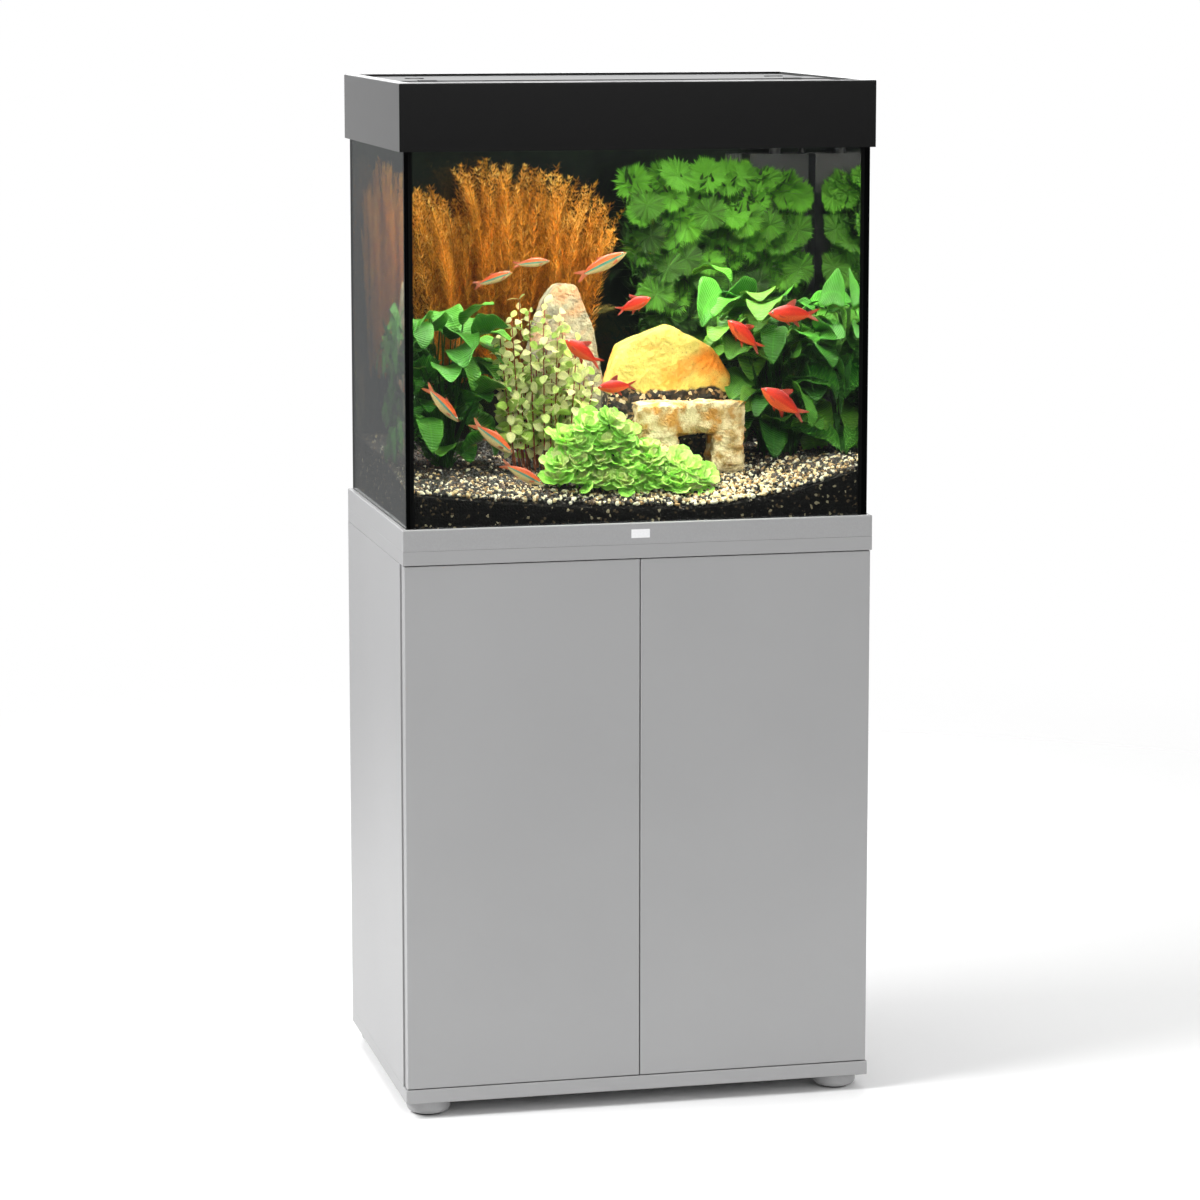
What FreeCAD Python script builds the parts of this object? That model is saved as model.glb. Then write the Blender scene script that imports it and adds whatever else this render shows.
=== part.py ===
"""Aquarium on its cabinet: tank with hood, light, filter, planting and fish, on a two-door stand.

Millimetres. X runs to the right, Y to the back and Z up; the origin is on the floor, under the middle.
Every driving size is a cell of the spreadsheet "sizes", and the features follow those cells.
"""
import FreeCAD, Part
import os
import re
import Sketcher

from FreeCAD import Placement, Rotation, Vector

SIZES = {
    # cabinet
    "overall_width": 610, "overall_depth": 410, "cabinet_top": 730, "board": 18,
    "foot_height": 20, "foot_radius": 28, "foot_round": 7, "foot_inset": 35,
    "pad_height": 2, "pad_radius": 19,
    "screw_radius": 3, "screw_length": 28, "screw_in_board": 12,
    "screw_head_radius": 6, "screw_head_height": 3,
    "back_thickness": 8, "door_inset": 1, "hinge_gap": 2, "door_gap": 2, "centre_gap": 1.2, "door_end_gap": 1.2,
    "edge_round": 1,
    "hose_slot_width": 160, "hose_slot_height": 60, "hose_slot_level": 650,
    "cable_hole_radius": 25, "cable_hole_x": 200, "cable_hole_level": 110,
    "shelf_level": 362, "shelf_thickness": 16, "shelf_front": -160, "shelf_back": 190, "shelf_gap": 0.5,
    "pin_radius": 2.5, "pin_length": 18, "pin_depth": 10,
    "cam_radius": 7.5, "cam_thickness": 13, "cam_from_end": 24,
    "bolt_radius": 3, "bolt_in_board": 11, "dowel_radius": 4, "dowel_length": 30, "dowel_in_board": 11,
    "hole_slack": 0.05,
    # cup hinges and push latches
    "cup_radius": 17.5, "cup_depth": 11.5, "cup_edge": 5, "hinge_from_end": 95,
    "cup_wing_height": 60, "cup_wing_width": 14, "cup_wing": 1,
    "cup_well_width": 12, "cup_well_height": 22, "cup_well_depth": 9,
    "plate_setback": 37, "plate_height": 50, "plate_width": 12, "plate_thickness": 8,
    "plate_foot": 3, "plate_length": 44,
    "plate_screw_reach": 16, "plate_screw_length": 12, "plate_screw_head": 2,
    "arm_length": 62, "arm_height": 14, "arm_thickness": 8,
    "latch_x": 20, "latch_setback": 5, "latch_width": 16,
    "latch_length": 60, "latch_height": 18, "latch_drop": 10,
    "plunger_radius": 3, "plunger_length": 55.7, "plunger_bore": 55, "running_slack": 0.08,
    "strike_radius": 6.5, "strike_thickness": 1, "closed_gap": 0.3,
    # tank
    "frame_height": 27, "frame_ledge": 8, "frame_opening_x": 560, "frame_opening_y": 360,
    "badge_width": 24, "badge_height": 11, "badge_depth": 1,
    "glass": 6, "glass_width": 598, "glass_depth": 398, "glass_top": 1288,
    "seam": 5, "seam_gap": 1, "film": 0.8, "film_inset": 1, "fill_gap": 0.3,
    "gravel_front": 786, "gravel_back": 838,
    # hood
    "overall_height": 1310, "hood_bottom": 1226, "hood_wall": 4, "hood_rim": 16, "moulded_round": 1.5,
    "ledge_width": 22, "ledge_thickness": 4, "recess_width": 112, "recess_pitch": 204, "recess_depth": 8,
    "recess_drop": 7,
    "bar_width": 84, "bar_height": 16,
    "tube_radius": 8, "tube_length": 438, "tube_y": 24, "tube_drop": 6, "tube_cap": 14,
    "hanger_width": 8, "hanger_depth": 10, "hanger_setback": 4,
    "flap_thickness": 4, "flap_gap": 2, "flap_drop": 3, "flap_skirt": 11, "skirt_thickness": 4,
    "hinge_drop": 5, "hinge_reach": 5, "notch_width": 26, "notch_reach": 6,
    "knuckle_radius": 4, "knuckle_width": 12, "tongue_length": 7, "lug_width": 5.5, "lug_gap": 0.3,
    "hinge_x": 240, "flap_pin_radius": 2,
    # filter, pump and heater
    "filter_x": 208, "filter_y": 128, "filter_width": 80, "filter_depth": 60, "filter_wall": 3,
    "filter_bottom": 846, "filter_height": 360, "inlet_width": 40, "inlet_height": 5, "inlet_inset": 12,
    "inlet_rise": 250, "inlet_pitch": 14, "sponge_height": 80, "carbon_height": 60, "sponge_gap": 2,
    "sponge_inset": 1,
    "pump_width": 46, "pump_depth": 40, "pump_height": 60, "pump_level": 1180,
    "rotor_radius": 11, "rotor_height": 24, "rotor_slack": 0.5, "rotor_drop": 40, "blade_thickness": 2,
    "nozzle_radius": 8, "nozzle_length": 46, "nozzle_bore": 5.5, "nozzle_level": 1215, "pipe_radius": 7,
    "pipe_bore": 5, "pipe_rise": 4, "collar_drop": 16, "collar_height": 28,
    "heater_radius": 12, "heater_length": 300, "heater_level": 890, "heater_gap": 5, "heater_setback": 16,
    "clip_height": 10, "clip_wall": 3, "clip_tab_width": 12, "low_clip": 40, "high_clip": 240,
    "knob_radius": 11, "knob_height": 16, "knob_gap": 0.3, "knob_base": 4, "groove_radius": 1.8,
    "groove_reach": 0.5,
}

doc = FreeCAD.newDocument("aquarium_on_stand")
sheet = doc.addObject("Spreadsheet::Sheet", "sizes")
for row, (alias, number) in enumerate(SIZES.items(), start=1):
    sheet.set(f"A{row}", alias)
    sheet.set(f"B{row}", str(number))
    sheet.setAlias(f"B{row}", alias)
doc.recompute()

ALIAS = re.compile(r"\b(" + "|".join(SIZES) + r")\b")
AIM = {
    "z": Rotation(),
    "x": Rotation(Vector(0, 0, 1), Vector(1, 0, 0)),
    "y": Rotation(Vector(0, 0, 1), Vector(0, 1, 0)),
}
NODES = []
CUTS = []


# ---- helpers: every size is a formula over the spreadsheet's aliases ----

def formula(text):
    """The formula with each alias pointing at the spreadsheet."""
    return ALIAS.sub(r"sizes.\1", str(text))


def value(text):
    """The number that a formula gives now."""
    return float(sheet.evalExpression(formula(text)))


def place(thing, x, y, z):
    """Binds the place of an object to three formulas."""
    for axis, where in zip("xyz", (x, y, z)):
        thing.setExpression(f"Placement.Base.{axis}", formula(where))
    return thing


def bind(thing, **sizes):
    """Binds named sizes of a feature to formulas."""
    for name, text in sizes.items():
        thing.setExpression(name, formula(text))
    return thing


def block(name, low, size):
    """A rectangular block from its lowest corner."""
    box = doc.addObject("Part::Box", name)
    bind(box, Length=size[0], Width=size[1], Height=size[2])
    return place(box, *low)


def rod(name, start, radius, length, along="z"):
    """A round bar from the middle of its first end."""
    bar = doc.addObject("Part::Cylinder", name)
    bind(bar, Radius=radius, Height=length)
    bar.Placement = Placement(Vector(), AIM[along])
    return place(bar, *start)


def tapered(name, base, low_radius, high_radius, height):
    """A round tapered bar standing on the middle of its base."""
    cone = doc.addObject("Part::Cone", name)
    bind(cone, Radius1=low_radius, Radius2=high_radius, Height=height)
    return place(cone, *base)


def joined(name, shapes):
    """One solid out of several."""
    fused = doc.addObject("Part::MultiFuse", name)
    fused.Shapes = shapes
    return fused


def cut(name, base, tools):
    """The base with the tools taken away."""
    tool = tools[0] if len(tools) == 1 else joined(name + "_tools", tools)
    result = doc.addObject("Part::Cut", name)
    result.Base = base
    result.Tool = tool
    CUTS.append((result, base))
    return result


def group(name, shapes):
    """Separate solids kept in one node."""
    several = doc.addObject("Part::Compound", name)
    several.Links = shapes
    return several


def node(thing, label):
    """Marks a finished sub-part and gives it its name."""
    thing.Label = label
    NODES.append(thing)
    return thing


def sketch_on(body, role, offset="0"):
    """A sketch on one of the body's own origin planes, lifted along the plane's normal."""
    sketch = body.newObject("Sketcher::SketchObject", body.Name + "_sketch")
    plane = next(item for item in body.Origin.OriginFeatures if item.Role == role)
    sketch.AttachmentSupport = [(plane, "")]
    sketch.MapMode = "FlatFace"
    sketch.setExpression("AttachmentOffset.Base.z", formula(offset))
    return sketch


def dimension(sketch, kind, ends, text):
    """A dimension that follows a formula."""
    index = sketch.addConstraint(Sketcher.Constraint(kind, *ends, value(text)))
    sketch.setExpression(f"Constraints[{index}]", formula(text))


def outline(sketch, points):
    """A closed outline of straight sides; each point is a pair of formulas."""
    corners = [Vector(value(x), value(y), 0) for x, y in points]
    first = sketch.GeometryCount
    count = len(corners)
    for side in range(count):
        sketch.addGeometry(Part.LineSegment(corners[side], corners[(side + 1) % count]), False)
    for side in range(count):
        following = first + (side + 1) % count
        sketch.addConstraint(Sketcher.Constraint("Coincident", first + side, 2, following, 1))
    for side, (x, y) in enumerate(points):
        dimension(sketch, "DistanceX", (-1, 1, first + side, 1), x)
        dimension(sketch, "DistanceY", (-1, 1, first + side, 1), y)


def rectangle(sketch, left, bottom, width, height):
    """A rectangle from its lower left corner."""
    right = f"({left}) + ({width})"
    top = f"({bottom}) + ({height})"
    outline(sketch, [(left, bottom), (right, bottom), (right, top), (left, top)])


def circle(sketch, x, y, radius):
    """A circle about a point."""
    index = sketch.GeometryCount
    sketch.addGeometry(Part.Circle(Vector(value(x), value(y), 0), Vector(0, 0, 1), value(radius)), False)
    dimension(sketch, "Radius", (index,), radius)
    dimension(sketch, "DistanceX", (-1, 1, index, 3), x)
    dimension(sketch, "DistanceY", (-1, 1, index, 3), y)


def new_body(name):
    return doc.addObject("PartDesign::Body", name)


def pad(body, sketch, length):
    """Raises a sketch along its plane's normal."""
    feature = body.newObject("PartDesign::Pad", body.Name + "_pad")
    feature.Profile = sketch
    bind(feature, Length=length)
    return feature


def pocket(body, sketch, depth, forward=False):
    """Cuts a sketch against its plane's normal, or along it."""
    feature = body.newObject("PartDesign::Pocket", body.Name + "_pocket")
    feature.Profile = sketch
    feature.Reversed = forward
    bind(feature, Length=depth)
    CUTS.append((feature, None))
    return feature


def rounded(body, radius, chosen):
    """Rounds the edges of a body whose bounding boxes pass a test."""
    doc.recompute()
    edges = [f"Edge{number}" for number, edge in enumerate(body.Shape.Edges, start=1)
             if chosen(edge.BoundBox)]
    last_feature = body.Tip
    rounding = body.newObject("PartDesign::Fillet", body.Name + "_fillet")
    rounding.Base = (last_feature, edges)
    bind(rounding, Radius=radius)


def same(first, second):
    """Whether two lengths agree to a hundredth."""
    return abs(first - second) < 0.01


def on_wall(box):
    """Whether an edge lies flat in one of the four outer walls of the footprint."""
    wide = value("overall_width / 2")
    deep = value("overall_depth / 2")
    across = box.XLength < 0.01 and same(abs(box.XMin), wide)
    return across or (box.YLength < 0.01 and same(abs(box.YMin), deep))


def upright_corner(box):
    """Whether an edge is one of the footprint's four upright corners."""
    return on_wall(box) and same(abs(box.XMin), value("overall_width / 2")) and same(
        abs(box.YMin), value("overall_depth / 2")) and box.ZLength > 1


def outer_edge_at(level):
    """A test for the outer edges at one level, together with the upright corners."""
    height = value(level)

    def chosen(box):
        level_edge = same(box.ZMin, height) and same(box.ZMax, height)
        return upright_corner(box) or (on_wall(box) and level_edge)

    return chosen


# ---- cabinet ----

SIDES = {"left": -1, "right": 1}
CAM_ROWS = (-120, 140)
DOWEL_ROWS = (-150, 170)
PIN_ROWS = (-120, 150)
INNER_X = "overall_width / 2 - board"
PANEL_FRONT = "-overall_depth / 2 + door_inset + board + hinge_gap"
DOOR_BACK = "-overall_depth / 2 + door_inset + board"
FLOOR = "foot_height + board"
CEILING = "cabinet_top - board"
PIN_LEVEL = "shelf_level - pin_radius"
HINGE_LEVELS = ("(foot_height + board) + hinge_from_end", "(cabinet_top - board) - hinge_from_end")
CORNERS = [(sx, sy) for sx in (-1, 1) for sy in (-1, 1)]


def board_with_fixings(label, level, face, hole_start):
    """A cabinet board: holes for the bolts and dowels of both side panels, opening at one face."""
    plank = new_body(label)
    outer = sketch_on(plank, "XY_Plane", level)
    rectangle(outer, "-overall_width / 2", "-overall_depth / 2", "overall_width", "overall_depth")
    pad(plank, outer, "board")
    for rows, radius in ((CAM_ROWS, "bolt_radius"), (DOWEL_ROWS, "dowel_radius")):
        holes = sketch_on(plank, "XY_Plane", hole_start)
        for side in (-1, 1):
            for y in rows:
                circle(holes, f"{side} * (overall_width - board) / 2", y, f"{radius} + hole_slack")
        pocket(plank, holes, "dowel_in_board + hole_slack", forward=(face == "bottom"))
    return plank


def round_board(plank, level):
    """Softens all outer edges of a board."""
    low = outer_edge_at(level)
    high = outer_edge_at(f"({level}) + board")
    rounded(plank, "edge_round", lambda box: low(box) or high(box))


def base_plate():
    plank = board_with_fixings("base_plate", "foot_height", "top", FLOOR)
    screws = sketch_on(plank, "XY_Plane", "foot_height")
    for sx, sy in CORNERS:
        circle(screws, f"{sx} * (overall_width / 2 - foot_inset)",
               f"{sy} * (overall_depth / 2 - foot_inset)", "screw_radius + hole_slack")
    pocket(plank, screws, "screw_in_board", forward=True)
    round_board(plank, "foot_height")
    node(plank, "base_plate")


def top_board():
    plank = board_with_fixings("top_board", CEILING, "bottom", CEILING)
    round_board(plank, CEILING)
    node(plank, "top_board")


def side_panel(side_name):
    """A side panel standing between the boards, with its fixings' holes on the inner face and ends."""
    side = SIDES[side_name]
    panel = new_body(f"{side_name}_side_panel")
    start = "overall_width / 2 - board" if side > 0 else "-overall_width / 2"
    face = sketch_on(panel, "YZ_Plane", start)
    rectangle(face, PANEL_FRONT, FLOOR, f"overall_depth / 2 - ({PANEL_FRONT})", f"({CEILING}) - ({FLOOR})")
    pad(panel, face, "board")
    inner = f"{side} * ({INNER_X})"
    ends = ((FLOOR, 1), (CEILING, -1))
    cams = sketch_on(panel, "YZ_Plane", inner)
    for level, way in ends:
        for y in CAM_ROWS:
            circle(cams, y, f"{level} + {way} * cam_from_end", "cam_radius + hole_slack")
    pocket(panel, cams, "cam_thickness + hole_slack", forward=(side > 0))
    pins = sketch_on(panel, "YZ_Plane", inner)
    for y in PIN_ROWS:
        circle(pins, y, PIN_LEVEL, "pin_radius + hole_slack")
    for level in HINGE_LEVELS:
        for way in (-1, 1):
            circle(pins, f"({PANEL_FRONT}) + plate_setback", f"({level}) + {way} * plate_screw_reach",
                   "screw_radius / 2 + hole_slack")
    pocket(panel, pins, "pin_depth + hole_slack", forward=(side > 0))
    for level, way in ends:
        for rows, radius, depth in ((CAM_ROWS, "bolt_radius", "cam_from_end"),
                                    (DOWEL_ROWS, "dowel_radius", "dowel_length - dowel_in_board")):
            holes = sketch_on(panel, "XY_Plane", level)
            for y in rows:
                circle(holes, f"{side} * (overall_width - board) / 2", y, f"{radius} + hole_slack")
            pocket(panel, holes, f"{depth} + hole_slack", forward=(way > 0))
    node(panel, f"{side_name}_side_panel")


def panel_fixings():
    """Cam locks in the inner faces, with their bolts and the dowels across each joint."""
    cams, dowels = [], []
    for side in (-1, 1):
        middle = f"{side} * (overall_width - board) / 2"
        for level, way in ((FLOOR, 1), (CEILING, -1)):
            for y in CAM_ROWS:
                start = INNER_X if side > 0 else f"-({INNER_X}) - cam_thickness"
                cams.append(rod("cam", (start, y, f"{level} + {way} * cam_from_end"),
                                "cam_radius", "cam_thickness", "x"))
                low = f"{level} - bolt_in_board" if way > 0 else f"{level} - cam_from_end + cam_radius"
                cams.append(rod("bolt", (middle, y, low), "bolt_radius",
                                "bolt_in_board + cam_from_end - cam_radius"))
            for y in DOWEL_ROWS:
                low = f"{level} - dowel_in_board" if way > 0 else f"{level} - dowel_length + dowel_in_board"
                dowels.append(rod("dowel", (middle, y, low), "dowel_radius", "dowel_length"))
    node(group("cam_fitting_group", cams), "cam_lock_fittings")
    node(group("dowel_group", dowels), "wood_dowels")


def back_panel():
    """The back, with a slot for hoses and a round hole for cables."""
    panel = new_body("back_panel")
    face = sketch_on(panel, "XZ_Plane", "-overall_depth / 2")
    rectangle(face, f"-({INNER_X})", FLOOR, f"2 * ({INNER_X})", f"({CEILING}) - ({FLOOR})")
    pad(panel, face, "back_thickness")
    openings = sketch_on(panel, "XZ_Plane", "-overall_depth / 2")
    rectangle(openings, "-hose_slot_width / 2", "hose_slot_level - hose_slot_height / 2",
              "hose_slot_width", "hose_slot_height")
    circle(openings, "cable_hole_x", "cable_hole_level", "cable_hole_radius")
    pocket(panel, openings, "back_thickness", forward=True)
    node(panel, "back_panel")


def shelf():
    plank = block("shelf_block", (f"-({INNER_X}) + shelf_gap", "shelf_front", "shelf_level"),
                  (f"2 * (({INNER_X}) - shelf_gap)", "shelf_back - shelf_front", "shelf_thickness"))
    node(plank, "shelf")
    pins = []
    for side in (-1, 1):
        start = f"({INNER_X}) + pin_depth - pin_length" if side > 0 else f"-({INNER_X}) - pin_depth"
        for y in PIN_ROWS:
            pins.append(rod("shelf_pin", (start, y, PIN_LEVEL), "pin_radius", "pin_length", "x"))
    node(group("shelf_pin_group", pins), "shelf_pins")


def foot(name, sx, sy):
    """A round foot with a rounded lower edge and a countersunk screw hole."""
    body = new_body(name)
    profile = sketch_on(body, "XY_Plane", "pad_height")
    circle(profile, "0", "0", "foot_radius")
    pad(body, profile, "foot_height - pad_height")
    hole = sketch_on(body, "XY_Plane", "foot_height")
    circle(hole, "0", "0", "screw_radius + hole_slack")
    pocket(body, hole, "foot_height - pad_height")
    head = sketch_on(body, "XY_Plane", "pad_height")
    circle(head, "0", "0", "screw_head_radius + hole_slack")
    pocket(body, head, "screw_head_height + hole_slack", forward=True)
    low, wide = value("pad_height"), value("2 * foot_radius")
    rounded(body, "foot_round", lambda box: same(box.ZMax, low) and same(box.XLength, wide))
    return place(body, f"{sx} * (overall_width / 2 - foot_inset)",
                 f"{sy} * (overall_depth / 2 - foot_inset)", "0")


def feet():
    """Four feet with their pads and screws."""
    shapes, pads, screws = [], [], []
    for number, (sx, sy) in enumerate(CORNERS):
        x = f"{sx} * (overall_width / 2 - foot_inset)"
        y = f"{sy} * (overall_depth / 2 - foot_inset)"
        shapes.append(foot(f"foot_{number}", sx, sy))
        pads.append(rod("pad", (x, y, "0"), "pad_radius", "pad_height"))
        shank = rod("shank", (x, y, "pad_height"), "screw_radius", "screw_length")
        head = rod("head", (x, y, "pad_height"), "screw_head_radius", "screw_head_height")
        screws.append(joined("foot_screw", [shank, head]))
    node(group("foot_group", shapes), "feet")
    node(group("foot_pad_group", pads), "foot_pads")
    node(group("foot_screw_group", screws), "foot_screws")


def inward(side, reach, thickness):
    """Left end of a piece on a side panel's inner face: it starts a reach out from it and is so thick."""
    return f"({INNER_X}) - ({reach}) - ({thickness})" if side > 0 else f"-({INNER_X}) + ({reach})"


def hinge_plates_and_arms():
    """Mounting plates on the side panels, the arms clipped on them and their screws."""
    plates, arms, screws = [], [], []
    row = f"({PANEL_FRONT}) + plate_setback"
    for side in (-1, 1):
        for level in HINGE_LEVELS:
            foot_x = inward(side, "0", "plate_foot")
            cross = block("plate_cross", (foot_x, f"{row} - plate_width / 2", f"{level} - plate_height / 2"),
                          ("plate_foot", "plate_width", "plate_height"))
            rail = block("plate_rail", (inward(side, "0", "plate_thickness"), f"{row} - plate_length / 2",
                                        f"{level} - plate_width / 2"),
                         ("plate_thickness", "plate_length", "plate_width"))
            heights = [f"{level} + {way} * plate_screw_reach" for way in (-1, 1)]
            holes = [rod("plate_hole", (foot_x, row, z), "screw_radius / 2 + hole_slack", "plate_foot", "x")
                     for z in heights]
            plates.append(cut("hinge_plate", joined("hinge_plate_blank", [cross, rail]), holes))
            arms.append(block("hinge_arm", (inward(side, "plate_thickness", "arm_thickness"), PANEL_FRONT,
                                            f"{level} - arm_height / 2"),
                              ("arm_thickness", "arm_length", "arm_height")))
            for z in heights:
                shank_x = inward(side, "plate_foot - plate_screw_length", "plate_screw_length")
                head_x = inward(side, "plate_foot", "plate_screw_head")
                shank = rod("plate_shank", (shank_x, row, z), "screw_radius / 2", "plate_screw_length", "x")
                head = rod("plate_head", (head_x, row, z), "screw_radius", "plate_screw_head", "x")
                screws.append(joined("plate_screw", [shank, head]))
    node(group("hinge_plate_group", plates), "hinge_mounting_plates")
    node(group("hinge_arm_group", arms), "hinge_arms")
    node(group("hinge_screw_group", screws), "hinge_screws")


def door(side_name):
    """A door with the bores of its two hinge cups and the recess of its strike plate."""
    side = SIDES[side_name]
    panel = new_body(f"{side_name}_door")
    width = "(overall_width - 2 * door_gap - centre_gap) / 2"
    height = f"({CEILING}) - ({FLOOR}) - 2 * door_end_gap"
    left = "centre_gap / 2" if side > 0 else f"-centre_gap / 2 - {width}"
    outer = sketch_on(panel, "XZ_Plane", f"-({DOOR_BACK})")
    rectangle(outer, left, f"({FLOOR}) + door_end_gap", width, height)
    pad(panel, outer, "board")
    cup_x = f"{side} * (overall_width / 2 - door_gap - cup_edge - cup_radius)"
    bores = sketch_on(panel, "XZ_Plane", f"-({DOOR_BACK})")
    for level in HINGE_LEVELS:
        circle(bores, cup_x, level, "cup_radius + hole_slack")
    pocket(panel, bores, "cup_depth + hole_slack", forward=True)
    strike = sketch_on(panel, "XZ_Plane", f"-({DOOR_BACK})")
    circle(strike, f"{side} * latch_x", f"({CEILING}) - latch_drop", "strike_radius + hole_slack")
    pocket(panel, strike, "strike_thickness", forward=True)
    front = value(f"({DOOR_BACK}) - board")
    rounded(panel, "edge_round", lambda box: same(box.YMin, front) and same(box.YMax, front))
    node(panel, f"{side_name}_door")

    cups = []
    for level in HINGE_LEVELS:
        bowl = rod("cup_bowl", (cup_x, f"({DOOR_BACK}) - cup_depth", level), "cup_radius", "cup_depth", "y")
        wings = block("cup_wings", (f"{cup_x} - cup_wing_width / 2", DOOR_BACK,
                                    f"{level} - cup_wing_height / 2"),
                      ("cup_wing_width", "cup_wing", "cup_wing_height"))
        well = block("cup_well", (f"{cup_x} - cup_well_width / 2", f"({DOOR_BACK}) - cup_well_depth",
                                  f"{level} - cup_well_height / 2"),
                     ("cup_well_width", "cup_well_depth + cup_wing", "cup_well_height"))
        cups.append(cut("hinge_cup", joined("cup_blank", [bowl, wings]), [well]))
    node(group(f"{side_name}_cup_group", cups), f"{side_name}_hinge_cups")
    node(rod(f"{side_name}_strike", (f"{side} * latch_x", f"({DOOR_BACK}) - strike_thickness",
                                     f"({CEILING}) - latch_drop"),
             "strike_radius", "strike_thickness", "y"), f"{side_name}_strike_plate")


def push_latches():
    """Two push latches under the top board: a housing each, and a plunger that slides in it."""
    housings = []
    for side_name, side in SIDES.items():
        level = f"({CEILING}) - latch_drop"
        front = f"({DOOR_BACK}) + latch_setback"
        shell = block("latch_shell", (f"{side} * latch_x - latch_width / 2", front,
                                      f"({CEILING}) - latch_height"),
                      ("latch_width", "latch_length", "latch_height"))
        bore = rod("latch_bore", (f"{side} * latch_x", front, level), "plunger_radius + running_slack",
                   "plunger_bore", "y")
        housings.append(cut("latch_housing", shell, [bore]))
        node(rod(f"{side_name}_plunger", (f"{side} * latch_x", f"({DOOR_BACK}) + closed_gap", level),
                 "plunger_radius", "plunger_length", "y"), f"{side_name}_latch_plunger")
    node(group("latch_housing_group", housings), "push_latch_housings")


# ---- tank ----

TANK_FLOOR = "cabinet_top + frame_ledge"
WATER_FLOOR = "cabinet_top + frame_ledge + glass"
IN_X = "glass_width / 2 - glass"
IN_Y = "glass_depth / 2 - glass"


def base_frame():
    """The frame under the tank: the bottom glass rests on its ledge, and the badge sits in its front."""
    frame = new_body("base_frame")
    outer = sketch_on(frame, "XY_Plane", "cabinet_top")
    rectangle(outer, "-overall_width / 2", "-overall_depth / 2", "overall_width", "overall_depth")
    pad(frame, outer, "frame_height")
    seat = sketch_on(frame, "XY_Plane", "cabinet_top + frame_height")
    rectangle(seat, "-glass_width / 2 - fill_gap", "-glass_depth / 2 - fill_gap",
              "glass_width + 2 * fill_gap", "glass_depth + 2 * fill_gap")
    pocket(frame, seat, "frame_height - frame_ledge")
    middle = sketch_on(frame, "XY_Plane", "cabinet_top + frame_height")
    rectangle(middle, "-frame_opening_x / 2", "-frame_opening_y / 2", "frame_opening_x", "frame_opening_y")
    pocket(frame, middle, "frame_height")
    level = "cabinet_top + frame_height / 2 - badge_height / 2"
    badge = sketch_on(frame, "XZ_Plane", "overall_depth / 2")
    rectangle(badge, "-badge_width / 2", level, "badge_width", "badge_height")
    pocket(frame, badge, "badge_depth")
    rounded(frame, "moulded_round", outer_edge_at("cabinet_top + frame_height"))
    node(frame, "base_frame")
    node(block("badge_block", ("-badge_width / 2", "-overall_depth / 2", level),
               ("badge_width", "badge_depth", "badge_height")), "name_plate")


def tank_glass():
    """Bottom pane, front and back panes across the full width, and side panes between them."""
    rise = f"glass_top - ({WATER_FLOOR})"
    node(block("bottom_pane", ("-glass_width / 2", "-glass_depth / 2", TANK_FLOOR),
               ("glass_width", "glass_depth", "glass")), "bottom_glass")
    for name, y in (("front", "-glass_depth / 2"), ("back", IN_Y)):
        node(block(f"{name}_pane", ("-glass_width / 2", y, WATER_FLOOR), ("glass_width", "glass", rise)),
             f"{name}_glass")
    for name, x in (("left", "-glass_width / 2"), ("right", IN_X)):
        node(block(f"{name}_pane", (x, f"-({IN_Y})", WATER_FLOOR), ("glass", f"2 * ({IN_Y})", rise)),
             f"{name}_glass")


def silicone_seams():
    """Quarter-round beads up the four corners, and square beads along the bottom between them."""
    beads = []
    for quarter, (sx, sy) in enumerate([(-1, -1), (1, -1), (1, 1), (-1, 1)]):
        bead = doc.addObject("Part::Cylinder", "corner_bead")
        bead.Angle = 90
        bind(bead, Radius="seam", Height=f"glass_top - seam - ({WATER_FLOOR})")
        bead.Placement = Placement(Vector(), Rotation(Vector(0, 0, 1), 90 * quarter))
        beads.append(place(bead, f"{sx} * ({IN_X})", f"{sy} * ({IN_Y})", WATER_FLOOR))
    start_x = f"-({IN_X}) + seam + seam_gap"
    start_y = f"-({IN_Y}) + seam + seam_gap"
    for y in (f"-({IN_Y})", f"({IN_Y}) - seam"):
        beads.append(block("bottom_bead", (start_x, y, WATER_FLOOR), (f"-2 * ({start_x})", "seam", "seam")))
    for x in (f"-({IN_X})", f"({IN_X}) - seam"):
        beads.append(block("bottom_bead", (x, start_y, WATER_FLOOR), ("seam", f"-2 * ({start_y})", "seam")))
    node(group("seam_group", beads), "silicone_seams")
    return beads


def background_film():
    node(block("film_sheet", ("-glass_width / 2 + film_inset", "glass_depth / 2",
                              "cabinet_top + frame_height + film_inset"),
               ("glass_width - 2 * film_inset", "film",
                "hood_bottom - cabinet_top - frame_height - 2 * film_inset")), "background_film")


def gravel_bed(beads):
    """Gravel that fills the tank's floor and rises to the back."""
    bed = new_body("gravel_body")
    profile = sketch_on(bed, "YZ_Plane", f"-({IN_X}) + fill_gap")
    front = f"-({IN_Y}) + fill_gap"
    back = f"({IN_Y}) - fill_gap"
    outline(profile, [(front, WATER_FLOOR), (back, WATER_FLOOR),
                      (back, "gravel_back"), (front, "gravel_front")])
    pad(bed, profile, f"2 * (({IN_X}) - fill_gap)")
    filled = cut("gravel_filled", bed, beads)
    node(filled, "gravel_bed")
    return bed


def on_gravel(label, shapes, bed):
    """A piece that stands on the gravel: what would lie inside the bed is taken away."""
    blank = shapes[0] if len(shapes) == 1 else joined(label + "_blank", shapes)
    node(cut(label + "_cut", blank, [bed]), label)


def stone(label, foot_points, depth_range, bed):
    """A stone: its outline seen from the front, in X and Z, is carried from front to back."""
    body = new_body(label + "_body")
    near, far = depth_range
    face = sketch_on(body, "XZ_Plane", -far)
    outline(face, foot_points)
    pad(body, face, far - near)
    on_gravel(label, [body], bed)


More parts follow.
